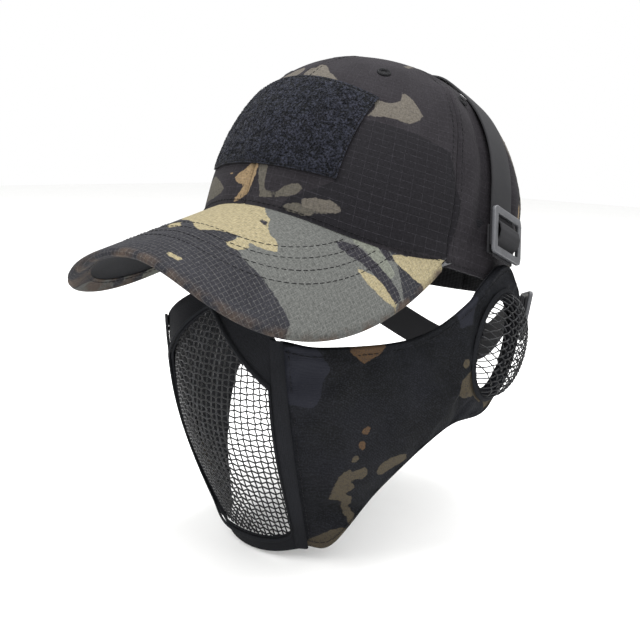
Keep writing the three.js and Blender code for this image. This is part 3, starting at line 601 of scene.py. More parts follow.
def plainCloth(name, dark, light, pitch=0.6, roughness=0.9, sheen=0.0, ribs=False, depthMm=0.14):
    material, tree, shader = newMaterial(name, roughness, sheen=sheen, specular=0.12)
    uv, place = uvSpace(tree), objectSpace(tree)
    x, y, _ = parts(tree, uv)
    across, along = waves(tree, x, pitch * (2.2 if ribs else 1)), waves(tree, y, pitch)
    weave = calc(tree, "MULTIPLY", across, along) if not ribs else calc(
        tree, "ADD", calc(tree, "MULTIPLY", along, 0.75), calc(tree, "MULTIPLY", across, 0.4))
    share = 0.5 if ribs else 0.3
    grain = calc(tree, "ADD", calc(tree, "MULTIPLY", noiseOf(tree, uv, 1200, 3), 1 - share),
                 calc(tree, "MULTIPLY", weave, share))
    # random lighter patches of wear; no painted shade here
    wearAndShade = remap(tree, noiseOf(tree, place, 45, 3), 0.4, 0.7, 0.0, 0.35)
    colour = mixColour(tree, remap(tree, grain, 0.25, 0.75), tint(dark), tint(light))
    tree.links.new(mixColour(tree, wearAndShade, colour, tint(light)), shader.inputs["Base Color"])
    bump(tree, shader, calc(tree, "ADD", weave, calc(tree, "MULTIPLY", grain, 0.5)), 0.8, depthMm)
    return material


def pileCloth(name):
    material, tree, shader = newMaterial(name, 0.95, sheen=0.04, specular=0.1)
    place = objectSpace(tree)
    curls = noiseOf(tree, place, 950, 3)
    clumps = noiseOf(tree, place, 260, 3)
    value = calc(tree, "ADD", calc(tree, "MULTIPLY", curls, 0.7), calc(tree, "MULTIPLY", clumps, 0.3))
    colour = mixColour(tree, remap(tree, value, 0.44, 0.68), tint("#050608"), tint("#2a2c36"))
    tree.links.new(colour, shader.inputs["Base Color"])
    bump(tree, shader, value, 1.0, 0.9)
    return material


def mouldedPlastic(name, dark, light):
    material, tree, shader = newMaterial(name, 0.42, specular=0.5)
    place = objectSpace(tree)
    colour = mixColour(tree, remap(tree, noiseOf(tree, place, 130, 4), 0.35, 0.7), tint(dark), tint(light))
    # painted highlight: convex edges are lightened towards a pale grey
    edge = tree.nodes.new("ShaderNodeNewGeometry").outputs["Pointiness"]
    colour = mixColour(tree, remap(tree, edge, 0.52, 0.6, 0.0, 0.55), colour, tint("#6c6d70"))
    tree.links.new(colour, shader.inputs["Base Color"])
    tree.links.new(remap(tree, noiseOf(tree, place, 700, 3), 0.3, 0.7, 0.36, 0.55), shader.inputs["Roughness"])
    bump(tree, shader, noiseOf(tree, place, 2600, 2), 0.25, 0.06)
    return material


def paintedWire(name):
    material, tree, shader = newMaterial(name, 0.38, metallic=0.1, specular=0.3)
    place = objectSpace(tree)
    colour = mixColour(tree, remap(tree, noiseOf(tree, place, 300, 3), 0.45, 0.7), tint("#08090b"),
                       tint("#1d1e22"))
    tree.links.new(colour, shader.inputs["Base Color"])
    tree.links.new(remap(tree, noiseOf(tree, place, 500, 2), 0.3, 0.7, 0.28, 0.5), shader.inputs["Roughness"])
    bump(tree, shader, noiseOf(tree, place, 3000, 2), 0.3, 0.05)
    return material


def floorPaper(name):
    material, tree, shader = newMaterial(name, 0.9, specular=0.2)
    place = objectSpace(tree)
    colour = mixColour(tree, noiseOf(tree, place, 30, 2), tint("#f4f4f3"), tint("#f8f8f7"))
    tree.links.new(colour, shader.inputs["Base Color"])
    return material


wingNylon = nylonCloth("cheek_nylon")
blackCloth = plainCloth("black_cloth", "#0c0d0f", "#1d1e22")
bandCloth = plainCloth("sweatband_cloth", "#0e0e10", "#222226", pitch=0.8, depthMm=0.2)
liningKnit = plainCloth("lining_knit", "#101114", "#26272b", pitch=0.9, depthMm=0.2)
webbingWeave = plainCloth("webbing_weave", "#070708", "#2b2b2d", pitch=1.25, roughness=0.8, ribs=True,
                          depthMm=0.4)
threadBlack = plainCloth("thread_black", "#08080a", "#17171a", pitch=0.3, roughness=0.6, depthMm=0.05)
loopPile = pileCloth("loop_pile")
satinPlastic = mouldedPlastic("satin_plastic", "#2c2d30", "#3c3d41")
boardPlastic = mouldedPlastic("board_plastic", "#232326", "#2c2c2f")
blackWire = paintedWire("black_wire")
print("materials ready")


# crown panels
def panelSurface(fromDeg, toDeg, mirror=1):
    def surface(u, v):
        if mirror < 0:
            u = 1 - u
        middle = radians(fromDeg + (toDeg - fromDeg) * u)
        low = angleAtHeight(middle, lowerEdge(middle))
        top = acos((crown["hole"] / plan(middle)) ** (fullness(middle) / 2))
        angle = low + (top - low) * v
        rho = plan(middle) * max(cos(angle), 0.01) ** (2 / fullness(middle))
        theta = middle + 0.12 / rho * (1 - 2 * u)
        x, y, z = crownAtAngle(theta, angle)
        place = crownPoint((x, y, z))
        place.x *= mirror
        return place
    return surface


crownPieces = []
stitchRuns = []
panelPlan = dict(front_panel=(0, crown["sideSeam"], 56, 110, 150),
                 side_panel=(crown["sideSeam"], crown["backSeam"], 44, 82, 150),
                 back_panel=(crown["backSeam"], 180, 44, 84, 120))
for name, (fromDeg, toDeg, columns, width, length) in panelPlan.items():
    for side, mirror in (("left", 1), ("right", -1)):
        panel = newGrid(f"{name}_cloth_{side}", columns, 76, panelSurface(fromDeg, toDeg, mirror),
                        (width, length))
        paintFields(panel, crownFields, crownDomain, crownLoose)
        apply(panel, "SOLIDIFY", thickness=crown["cloth"] * mm, offset=-1)
        smoothShade(panel, 60)
        dress(panel, crownCloth, "cap", "ripstop", f"{name}_{side}")
        crownPieces.append(panel)


def innerTape(seamAngle):
    def surface(u, v):
        theta = radians(seamAngle)
        low = angleAtHeight(theta, lowerEdge(theta) + 1)
        angle = low + (radians(88) - low) * v
        x, y, z = crownAtAngle(theta, angle)
        rho = hypot(x, y - crown["lean"] * z)
        place = crownAtAngle(theta + 12 / max(rho, 12) * (u - 0.5), angle)
        return crownPoint(place, -1.35)
    return surface


for name, seamAngle in (("front", 0), ("left", crown["sideSeam"]), ("right", -crown["sideSeam"]),
                        ("back_left", crown["backSeam"]), ("back_right", -crown["backSeam"]), ("back", 180)):
    tape = newGrid(f"seam_tape_{name}", 8, 60, innerTape(seamAngle), (12, 120))
    apply(tape, "SOLIDIFY", thickness=0.4 * mm, offset=-1)
    smoothShade(tape, 60)
    dress(tape, liningKnit, "cap", "lining")

for seamAngle in (0, crown["sideSeam"], -crown["sideSeam"], crown["backSeam"], -crown["backSeam"], 180):
    for offset in (-seamRow, seamRow):
        row = []
        low = lowerEdge(radians(seamAngle)) + 2.4
        for k in range(90):
            theta = radians(seamAngle)
            start = angleAtHeight(theta, low)
            angle = start + (radians(86) - start) * k / 89
            x, y, z = crownAtAngle(theta, angle)
            rho = hypot(x, y - crown["lean"] * z)
            if rho < 9:
                break
            x, y, z = crownAtAngle(theta + offset / rho, angle)
            row.append((crownPoint((x, y, z), 0.05), turnRow(crownNormal(x, y, z))))
        stitchRuns += stitches(row, 2.3, 0.8)
hemRow = []
for k in range(361):
    theta = radians(-179 + 358 * k / 360)
    hemRow.append(crownSample(theta, lowerEdge(theta) + 2.2, 0.05))
stitchRuns += stitches(hemRow, 2.4, 0.8)
dress(newThreads("crown_stitches", stitchRuns, 0.2, 2), threadBlack, "cap", "black_cloth")
print("crown", len(crownPieces), "panels")


# visor
def visorEdge(u, inset):
    turn = pi * (0.004 + 0.992 * u)
    forward = sin(turn) ** (2 / visor["squareness"])
    rootX, rootY, _ = crownAtHeight(radians(visor["end"]), 0)
    reach = visor["length"] + crown["halfLength"] + rootY - inset
    half = visor["halfWidth"] - inset - (visor["halfWidth"] - rootX) * (1 - forward) ** 3
    across = cos(turn)
    return half * sign(across) * abs(across) ** (2 / visor["squareness"]), rootY - reach * forward


def visorRoot(u):
    theta = radians(visor["end"]) * (1 - 2 * u)
    x, y, _ = crownAtHeight(theta, max(rimHeight(theta), 0))
    start = 1 - 1.7 / crown["halfWidth"]      # tucked under the crown's hem
    return x * start, y * start


def visorNormal(x):
    return Vector((x / visor["radius"], -slope, 1)).normalized()


def visorPoint(x, y, below=0.0):
    z = frontLift - x ** 2 / (2 * visor["radius"]) + (y + crown["halfLength"]) * slope
    return toRow(*(Vector((x, y, z)) - visorNormal(x) * below))


visorShape = dict(roll=2.3, top=0.82, rollPart=0.1, underHem=5.5)


def visorCoverSurface(u, v):
    r = visorShape["roll"]
    rootX, rootY = visorRoot(u)
    if v <= visorShape["top"]:
        k = v / visorShape["top"]
        edgeX, edgeY = visorEdge(u, r)
        x, y = rootX + (edgeX - rootX) * k, rootY + (edgeY - rootY) * k
        return visorPoint(x, y, -0.14 * noise.noise(Vector((x, y, 0)) / 14))
    edgeX, edgeY = visorEdge(u, r)
    innerX, innerY = visorEdge(u, r + 4)
    out = Vector((edgeX - innerX, edgeY - innerY)).normalized()
    if v <= visorShape["top"] + visorShape["rollPart"]:
        turn = pi * (v - visorShape["top"]) / visorShape["rollPart"]
        reach = r * sin(turn)
        return visorPoint(edgeX + out.x * reach, edgeY + out.y * reach, r - r * cos(turn))
    k = (v - visorShape["top"] - visorShape["rollPart"]) / (1 - visorShape["top"] - visorShape["rollPart"])
    inX, inY = visorEdge(u, r + visorShape["underHem"])
    return visorPoint(edgeX + (inX - edgeX) * k, edgeY + (inY - edgeY) * k, 2 * r)


def visorFlat(u, v):
    # the cut cloth laid flat, so that the weave runs on round the edge
    r = visorShape["roll"]
    (rootX, rootY), (edgeX, edgeY), (innerX, innerY) = visorRoot(u), visorEdge(u, r), visorEdge(u, r + 4)
    k = min(v / visorShape["top"], 1)
    out = Vector((edgeX - innerX, edgeY - innerY)).normalized()
    roll = clamp((v - visorShape["top"]) / visorShape["rollPart"]) * pi * r
    roll += clamp((v - visorShape["top"] - visorShape["rollPart"]) / 0.08) * visorShape["underHem"]
    x, y = rootX + (edgeX - rootX) * k + out.x * roll, rootY + (edgeY - rootY) * k + out.y * roll
    return x * (1 + x * x / (6 * visor["radius"] ** 2)) * mm, y / cos(radians(visor["pitch"])) * mm


cover = newGrid("visor_cover_cloth", 130, 60, visorCoverSurface)
for loop, corner in zip(cover.data.loops, cover.data.uv_layers.active.data):
    corner.uv = visorFlat(loop.vertex_index % 131 / 130, loop.vertex_index // 131 / 60)
paintFields(cover, visorFields, lambda co: (co.x / mm, (co.y * tiltCos - co.z * tiltSin) / mm), visorLoose)
# mask of the painted shade: it rises over the rolled edge and stays up under it
wearAndShade = cover.data.attributes.new("wearAndShade", "FLOAT", "POINT")
for index in range(len(cover.data.vertices)):
    v = (index // 131) / 60
    wearAndShade.data[index].value = smooth(v, visorShape["top"] - 0.02, visorShape["top"] + 0.03)
apply(cover, "SOLIDIFY", thickness=0.45 * mm, offset=-1)
smoothShade(cover, 60)
dress(cover, visorCloth, "cap", "ripstop", "visor_cover", "visor_edge_piping")

under = newGrid("visor_under_cloth", 90, 30, lambda u, v: visorPoint(
    *[a + (b - a) * v for a, b in zip(visorRoot(1 - u), visorEdge(1 - u, 5.0))], 4.15), (170, 70))
apply(under, "SOLIDIFY", thickness=0.6 * mm, offset=-1)
smoothShade(under)
dress(under, blackCloth, "cap", "black_cloth", "visor_under_cover")

visorRuns = []
for inset in visor["rows"]:
    row = []
    for k in range(241):
        u = k / 240
        x, y = visorEdge(u, inset)
        rootX, rootY = crownAtHeight(atan2(x, -y), max(rimHeight(atan2(x, -y)), 0))[:2]
        if hypot(x, y) > hypot(rootX, rootY) + 1.5:
            row.append((visorPoint(x, y, 0.05), turnRow(visorNormal(x))))
    visorRuns += stitches(row, 2.6, 0.9, 0.18)
row = [(visorPoint(*visorEdge(k / 240, 6.4), 2 * visorShape["roll"]),
        turnRow(-visorNormal(visorEdge(k / 240, 6.4)[0])))
       for k in range(4, 237)]
visorRuns += stitches(row, 2.6, 0.9, 0.18)
dress(newThreads("visor_stitches", visorRuns, 0.2, 2), threadBlack, "cap", "black_cloth")
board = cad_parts["visor_board"]
board.data.materials.clear()
board.data.materials.append(boardPlastic)
print("visor")


# loop patch
patch = dict(halfWidth=45, bottom=31, top=84, drop=8, curls=4200)


def patchPlace(u, v):
    x = patch["halfWidth"] * (2 * u - 1)
    across = (x / patch["halfWidth"]) ** 2
    z = patch["bottom"] - 2 * across + (patch["top"] - patch["bottom"] - (patch["drop"] - 2) * across) * v
    theta = 0.0
    for _ in range(8):
        px, py, _z = crownAtHeight(theta, z)
        theta = asin(clamp(x / hypot(px, py - crown["lean"] * z), -1, 1))
    return crownAtHeight(theta, z)


def patchSurface(u, v):
    edge = min(u, 1 - u) * 90, min(v, 1 - v) * 50
    fluffy = smooth(min(edge), 1.4, 2.4)
    place = patchPlace(u, v)
    spot = Vector(place)
    height = 0.95 + fluffy * (0.45 + 0.4 * noise.noise(spot / 1.3) + 0.25 * noise.noise(spot / 3.5))
    return crownPoint(place, 0.35 + height, relief=False)


pad = newGrid("loop_patch_pile", 120, 76, patchSurface, (90, 52))
apply(pad, "SOLIDIFY", thickness=0.9 * mm, offset=-1)
smoothShade(pad, 70)
dress(pad, loopPile, "cap", "pile", "loop_patch")
curlRuns = []
for _ in range(patch["curls"]):
    u, v = random.uniform(0.03, 0.97), random.uniform(0.045, 0.955)
    place = patchPlace(u, v)
    normal = crownNormal(*place)
    heading = Vector((random.uniform(-1, 1), random.uniform(-1, 1), random.uniform(-1, 1)))
    heading = (heading - normal * heading.dot(normal)).normalized()
    size = random.uniform(0.5, 0.95)
    base = Vector(place) + normal * 1.35
    run = []
    for k in range(4):
        turn = pi * k / 3
        lift = size * sin(turn) * 0.95
        run.append(toRow(*(base + heading * (size * (1 - cos(turn)) - size) * 0.8 + normal * lift)))
    curlRuns.append(run)
curls = newThreads("loop_patch_curls", curlRuns, 0.1, 1)
dress(curls, loopPile, "cap", "pile")
patchRuns = []
du, dv = 1.1 / 90, 1.1 / 52      # the stitch row's inset
corners = [(du, dv), (1 - du, dv), (1 - du, 1 - dv), (du, 1 - dv), (du, dv)]
for (au, av), (bu, bv) in zip(corners, corners[1:]):
    row = []
    for k in range(41):
        place = patchPlace(au + (bu - au) * k / 40, av + (bv - av) * k / 40)
        row.append((crownPoint(place, 1.35, relief=False), turnRow(crownNormal(*place))))
    patchRuns += stitches(row, 2.2, 0.7)
dress(newThreads("loop_patch_stitches", patchRuns, 0.18, 2), threadBlack, "cap", "black_cloth")
print("patch")


# turned pieces: the covered button and the stitched eyelets
# profile(v) gives radius and height; place(x, y, z) puts it on the crown
def newTurned(name, profile, columns, place, ridges=0.0, ridgeCount=0):
    def surface(u, v):
        turn = 2 * pi * (u % 1.0)
        radius, height = profile(v)
        swell = 1 + ridges * cos(ridgeCount * turn)
        return place(radius * cos(turn), radius * sin(turn), height * swell)
    piece = newGrid(name, columns, 18, surface, (20, 10))
    weldSeam(piece)
    faceOut(piece)
    smoothShade(piece, 70)
    return piece


def buttonProfile(v):
    if v < 0.7:
        k = v / 0.7
        return 7.3 * sin(k * pi / 2), 0.9 + 3.6 * sqrt(max(0.0, 1 - (k * 0.97) ** 2.2))
    k = (v - 0.7) / 0.3
    return 7.3 * (1 - k), 0.9 - 0.5 * k


apex = crown["height"]
button = newTurned("top_button_cloth", buttonProfile, 40,
                   lambda x, y, z: toRow(x, crown["lean"] * apex + y, apex + z - 0.4))
for field in crownFields:
    layer = button.data.attributes.new(field, "FLOAT", "POINT")
    for value in layer.data:
        value.value = -6.0
dress(button, crownCloth, "cap", "ripstop", "top_button")


def eyeletProfile(v):
    # a flat black disc closes the middle: painted shade standing in for the hole
    if v < 0.15:
        return 1.5 * v / 0.15, 0.05
    turn = pi * (v - 0.15) / 0.7
    if v < 0.85:
        return 2.65 - 1.15 * cos(turn), 0.05 + 1.05 * sin(turn)
    return 3.8 * (1 - (v - 0.85) / 0.15), -0.1


for side, mirror in (("left", 1), ("right", -1)):
    for where, angleDeg in (("front", crown["sideSeam"] / 2), ("side", crown["sideSeam"] + 14),
                            ("back", (crown["backSeam"] + 180) / 2)):
        spot = crownAtHeight(radians(angleDeg), 94)
        normal = crownNormal(*spot)
        lift = crownRelief(*spot)
        alongX = Vector((0, 0, 1)).cross(normal).normalized()
        alongY = normal.cross(alongX)

        def place(x, y, z):
            at = Vector(spot) + alongX * x + alongY * y + normal * (z + lift + 0.1)
            return toRow(at.x * mirror, at.y, at.z)
        ring = newTurned(f"eyelet_thread_{where}_{side}", eyeletProfile, 96, place, 0.12, 24)
        dress(ring, threadBlack, "cap", "black_cloth", f"eyelet_{where}_{side}")
print("button and eyelets")


# bands on the crown
def crownBand(name, fromDeg, toDeg, low, high, level, thickness, columns, rows, material, body, slot, nodes,
              puff=0.0):
    def surface(u, v):
        theta = radians(fromDeg + (toDeg - fromDeg) * u)
        z = low(theta) + (high(theta) - low(theta)) * v
        place = crownAtHeight(theta, z)
        wave = puff * sin(pi * v) + 0.12 * noise.noise(Vector((degrees(theta) / 7, z / 9, level)))
        return crownPoint(place, level - wave if level < 0 else level + wave, relief=False)
    width = radians(abs(toDeg - fromDeg)) * 88
    band = newGrid(name, columns, rows, surface, (width, 20))
    apply(band, "SOLIDIFY", thickness=thickness * mm, offset=-1)
    apply(band, "BEVEL", width=thickness * 0.3 * mm, segments=2, limit_method="ANGLE", angle_limit=radians(60))
    smoothShade(band, 60)
    return dress(band, material, body, slot, *nodes)


crownBand("sweatband_cloth", -134, 134, rimHeight, lambda t: rimHeight(t) + 30, -2.6, 1.3, 150, 10,
          bandCloth, "cap", "black_cloth", ["sweatband"], 0.35)
crownBand("front_buckram_cloth", -69.5, 69.5, lambda t: rimHeight(t) + 33, lambda t: 99.5, -2.3, 0.5, 60, 24,
          liningKnit, "cap", "lining", ["front_buckram"])
crownBand("closure_strap_webbing_right", -190, -137, lambda t: 0.6, lambda t: 16.4, -2.3, 1.1, 60, 12,
          webbingWeave, "cap", "webbing", ["closure_strap_right"])
crownBand("closure_strap_webbing_left", 143, 196, lambda t: 0.6, lambda t: 16.4, 1.5, 1.1, 60, 12,
          webbingWeave, "closure_flap", "webbing", ["closure_strap_left"])
print("bands")


# webbing
strap = dict(width=20, thickness=1.2, lean=5.4, forward=5.8, leaves=50, slope=0.26, end=17, lift=1.4,
             glide=24, tabTop=28, tabFoot=13)
planeUp = Vector((0, sin(radians(strap["lean"])), cos(radians(strap["lean"]))))
planeAcross = Vector((0, cos(radians(strap["lean"])), -sin(radians(strap["lean"]))))
planeFoot = Vector((0, strap["forward"], 0))


# frameAt(u) gives the middle, the width direction and the outward normal, all in the row frame
def newRibbon(name, frameAt, length, width, thickness, steps, columns=12, ripple=0.0):
    def surface(u, v):
        at, across, normal = frameAt(u)
        edge = 0.14 * smooth(abs(v - 0.5), 0.36, 0.46)
        wave = ripple * noise.noise(Vector((u * length / 22, v * 1.4, length)))
        return at + across * ((v - 0.5) * width * mm) + normal * ((wave - edge) * mm)
    ribbon = newGrid(name, steps, columns, surface)
    for corner in ribbon.data.uv_layers.active.data:
        corner.uv = (corner.uv[1] * width * mm, corner.uv[0] * length * mm)
    total = 0.0
    for face in ribbon.data.polygons:
        total += face.normal.dot(frameAt(clamp((face.index % steps + 0.5) / steps))[2])
    if total < 0:
        flipFaces(ribbon)
    apply(ribbon, "SOLIDIFY", thickness=thickness * mm, offset=0)
    apply(ribbon, "BEVEL", width=0.3 * mm, segments=2, limit_method="ANGLE", angle_limit=radians(60))
    smoothShade(ribbon, 60)
    return ribbon


def strapRadius(angle):
    inside, outside = 0.0, 2 * crown["height"]
    for _ in range(34):
        reach = (inside + outside) / 2
        p = planeFoot + planeUp * (reach * sin(angle))
        if crownLevel(reach * cos(angle), p.y, p.z) < 1:
            inside = reach
        else:
            outside = reach
    return inside


leaveAngle = 0.2
for _ in range(30):
    leaveAngle = asin(strap["leaves"] / strapRadius(leaveAngle))
leaveX = strapRadius(leaveAngle) * cos(leaveAngle) + strap["lift"]
runNormal = (Vector((1, 0, 0)) + planeUp * strap["slope"]).normalized()


def runPoint(height, level=0.0):
    p = planeFoot + planeUp * height
    p.x = leaveX + strap["slope"] * (strap["leaves"] - height)
    return p + runNormal * level


def onArch(angle):
    reach = strapRadius(angle)
    p = planeFoot + planeUp * (reach * sin(angle))
    p.x = reach * cos(angle)
    return p


def crownStrapAt(u):
    side = 1 if u < 0.5 else -1
    k = min(u, 1 - u)
    runPart = 0.1
    if k < runPart:
        at, normal = runPoint(strap["end"] + (strap["leaves"] - strap["end"]) * k / runPart), runNormal.copy()
    else:
        angle = leaveAngle + (pi / 2 - leaveAngle) * (k - runPart) / (0.5 - runPart)
        along = (onArch(angle + 0.01) - onArch(angle - 0.01)).normalized()
        normal = -along.cross(planeAcross)
        if normal.dot(onArch(angle) - planeFoot) < 0:
            normal = -normal
        early = smooth(k, runPart, runPart + 0.05)
        slack = 1.8 * bell(degrees(angle), 76, 6)
        at = onArch(angle) + normal * (strap["lift"] + slack)
        normal = (runNormal * (1 - early) + normal * early).normalized()
    at.x, normal.x = at.x * side, normal.x * side
    return toRow(*at), turnRow(planeAcross), turnRow(normal)


dress(newRibbon("crown_strap_webbing", crownStrapAt, 330, strap["width"], strap["thickness"], 200),
      webbingWeave, "cap", "webbing", "crown_strap")


# three bars and two slots; along, across and normal are the strap's own axes
def newGlide(name, at, along, across, normal):
    xs, ys, height = (-13, -9, -2, 2, 9, 13), (-14, -10.8, 10.8, 14), 2.4
    level = 0.6 + 0.4 + 1.2 + 0.4
    glide = newGrid(name, 5, 3, lambda u, v: Vector((xs[round(u * 5)], ys[round(v * 3)], 0)) * mm)
    only(glide)
    bpy.ops.object.mode_set(mode="EDIT")
    bpy.ops.mesh.select_all(action="DESELECT")
    bpy.ops.object.mode_set(mode="OBJECT")
    for face in glide.data.polygons:
        middle = face.center / mm
        face.select = abs(abs(middle.x) - 5.5) < 1 and abs(middle.y) < 1
    bpy.ops.object.mode_set(mode="EDIT")
    bpy.ops.mesh.select_mode(type="FACE")
    bpy.ops.mesh.delete(type="FACE")
    bpy.ops.mesh.select_mode(type="VERT")
    bpy.ops.mesh.select_all(action="DESELECT")
    bpy.ops.object.mode_set(mode="OBJECT")
    for vertex in glide.data.vertices:
        vertex.select = abs(vertex.co.x) > 12.9 * mm and abs(vertex.co.y) > 13.9 * mm
    bpy.ops.object.mode_set(mode="EDIT")
    bpy.ops.mesh.bevel(offset=2.6 * mm, segments=5, affect="VERTICES")
    bpy.ops.object.mode_set(mode="OBJECT")
    apply(glide, "SOLIDIFY", thickness=height * mm, offset=1)
    apply(glide, "BEVEL", width=0.55 * mm, segments=3, limit_method="ANGLE", angle_limit=radians(50))
    for vertex in glide.data.vertices:
        x, y, z = vertex.co
        grip = 0.25 * mm * bell(abs(x / mm), 11, 1.2) * (z > 1.2 * mm)
        vertex.co = at + along * x + across * y + normal * (z + level * mm - grip)
    smoothShade(glide, 40)
    return glide


def glideLoopAt(at, along, across, normal):
    low, high = 1.6, 0.6 + 0.4 + 1.2 + 0.4 + 2.4 + 0.4 + 0.8
    stops = [(-14, low), (-9.4, low), (-7.4, low + 0.3), (-2.9, high - 0.5), (0, high), (2.9, high - 0.5),
             (7.4, low + 0.3), (9.4, low), (14, low)]

    def frameAt(u):
        x = -14 + 28 * u
        for (ax, az), (bx, bz) in zip(stops, stops[1:]):
            if ax <= x <= bx + 1e-6:
                k = smooth(x, ax, bx)
                z, steep = az + (bz - az) * k, (bz - az) / (bx - ax) * 6 * k * (1 - k)
                break
        tilted = (normal - along * steep * 0.8).normalized()
        return at + along * (x * mm) + normal * (z * mm), across, tilted
    return frameAt


def addGlide(name, at, along, normal, body):
    across = normal.cross(along).normalized()
    glide = newGlide(f"{name}_glide_frame", at, along, across, normal)
    dress(glide, satinPlastic, body, "plastic", f"{name}_glide")
    loop = newRibbon(f"{name}_glide_loop", glideLoopAt(at, along, across, normal), 34, 19.4, 1.1, 56)
    dress(loop, webbingWeave, body, "webbing", f"{name}_glide_webbing")


def mirrored(vector, side):
    return Vector((vector.x * side, vector.y, vector.z))


for side, mirror in (("left", 1), ("right", -1)):
    at, normal = mirrored(toRow(*runPoint(strap["glide"])), mirror), mirrored(turnRow(runNormal), mirror)
    along = mirrored(turnRow((runPoint(strap["glide"] + 1) - runPoint(strap["glide"])).normalized()), mirror)
    addGlide(f"crown_{side}", at, along, normal, f"crown_adjuster_{side}")

    def tabAt(u, mirror=mirror):
        p = runPoint(strap["tabFoot"] + (strap["tabTop"] - strap["tabFoot"]) * u, -1.6)
        return mirrored(toRow(*p), mirror), turnRow(planeAcross), mirrored(turnRow(runNormal), mirror)
    dress(newRibbon(f"ear_tab_webbing_{side}", tabAt, 15, strap["width"], 1.2, 12),
          webbingWeave, "mask", "webbing", f"ear_tab_{side}")
print("crown strap")


# neck strap
neck = dict(start=(92.9, 34, -22), direction=(-0.66, 0.72, -0.22), run=36, back=(0, 103, -66),
            handle=26, side=30, join=6, tabStart=3.5, glideAt=20)
neckDirection = Vector(neck["direction"]).normalized()
neckLean = Vector((0, -neckDirection.z, neckDirection.y)).normalized()
neckOut = neckDirection.cross(neckLean).normalized()


def neckRunPoint(length, level=0.0):
    return Vector(neck["start"]) + neckDirection * length + neckOut * level


def neckBezier(k):
    a, b = neckRunPoint(neck["run"]), neckRunPoint(neck["run"] + neck["handle"])
    c, d = Vector((neck["side"], neck["back"][1], neck["back"][2])), Vector(neck["back"])
    at = a * (1 - k) ** 3 + b * 3 * k * (1 - k) ** 2 + c * 3 * k * k * (1 - k) + d * k ** 3
    along = ((b - a) * (1 - k) ** 2 + (c - b) * 2 * k * (1 - k) + (d - c) * k * k).normalized()
    return at, along


def neckStrapAt(u):
    side = 1 if u < 0.5 else -1
    k = min(u, 1 - u) / 0.5
    if k < 0.26:
        at, along, blend = neckRunPoint(neck["join"] + (neck["run"] - neck["join"]) * k / 0.26), neckDirection, 0.0
    else:
        blend = (k - 0.26) / 0.74
        at, along = neckBezier(blend)
    across = neckLean * (1 - blend) + Vector((0, 0, blend))
    across = (across - along * across.dot(along)).normalized()
    normal = along.cross(across).normalized()
    if normal.dot(Vector((at.x, at.y - 20, 0))) < 0:
        normal = -normal
    return metres(mirrored(at, side)), mirrored(across, side), mirrored(normal, side)


dress(newRibbon("neck_strap_webbing", neckStrapAt, 300, strap["width"], strap["thickness"], 200, ripple=0.25),
      webbingWeave, "mask", "webbing", "neck_strap")
for side, mirror in (("left", 1), ("right", -1)):
    def neckTabAt(u, mirror=mirror):
        p = neckRunPoint(neck["tabStart"] + (neck["join"] + 8 - neck["tabStart"]) * u, -1.6)
        return metres(mirrored(p, mirror)), mirrored(neckLean, mirror), mirrored(neckOut, mirror)
    dress(newRibbon(f"neck_tab_webbing_{side}", neckTabAt, 12, strap["width"], 1.2, 10),
          webbingWeave, "mask", "webbing", f"neck_tab_{side}")
    addGlide(f"neck_{side}", metres(mirrored(neckRunPoint(neck["glideAt"]), mirror)),
             mirrored(neckDirection, mirror), mirrored(neckOut, mirror), f"neck_adjuster_{side}")
print("neck strap")


# cheek wings
wing = dict(earX=92, depth=3.9, lining=0.6, columns=66, rows=44, hem=2, pressure=4.0, cap=3.2,
            earCentre=(9.5, -36), earTilt=20, earHalf=(28, 17.5), hole=(25, 14.5), stations=[
                [(42, -102, -27), (40, -91.5, -82), (32, -68.5, -143.7)],
                [(58, -86, -30), (56, -76, -82), (43, -59, -142)],
                [(78.5, -42, -28), (77, -40, -68), (62, -46, -110)],
                [(91, -12, -11), (92, -13, -46), (83, -20, -78.5)],
                [(92, 16, 6), (92, 14, -33), (92, 4, -71)],
                [(92, 30, -8), (92, 33, -24), (92, 28, -48)]])
earSin, earCos = sin(radians(wing["earTilt"])), cos(radians(wing["earTilt"]))


def catmull(values, s):
    last = len(values) - 1
    i = min(last - 1, max(0, floor(s * last)))
    t = s * last - i

    def at(k):
        if k < 0:
            return 2 * values[0] - values[1]
        return 2 * values[last] - values[last - 1] if k > last else values[k]
    a, b, c, d = at(i - 1), at(i), at(i + 1), at(i + 2)
    return 0.5 * (2 * b + (c - a) * t + (2 * a - 5 * b + 4 * c - d) * t ** 2 + (3 * b - a - 3 * c + d) * t ** 3)


def wingSurface(s, t):
    top, middle, bottom = (Vector([catmull([st[row][axis] for st in wing["stations"]], s) for axis in range(3)])
                           for row in range(3))
    p = top * ((1 - t) * (1 - 2 * t)) + middle * (4 * t * (1 - t)) + bottom * (t * (2 * t - 1))
    p.x = min(p.x, wing["earX"] + 1e-3 * (p.x - wing["earX"]))
    return p


def wingNormal(s, t):
    along = wingSurface(s + 0.004, t) - wingSurface(s - 0.004, t)
    down = wingSurface(s, t + 0.004) - wingSurface(s, t - 0.004)
    normal = down.cross(along).normalized()
    here = wingSurface(s, t)
    return normal if normal.dot(Vector((max(here.x, 1), here.y * 0.6, 0))) > 0 else -normal


def wingPoint(s, t, level=0.0):
    return metres(wingSurface(s, t) + wingNormal(s, t) * level)


def earCoordinates(p):
    dy, dz = p.y / mm - wing["earCentre"][0], p.z / mm - wing["earCentre"][1]
    return dy * earSin + dz * earCos, -dy * earCos + dz * earSin


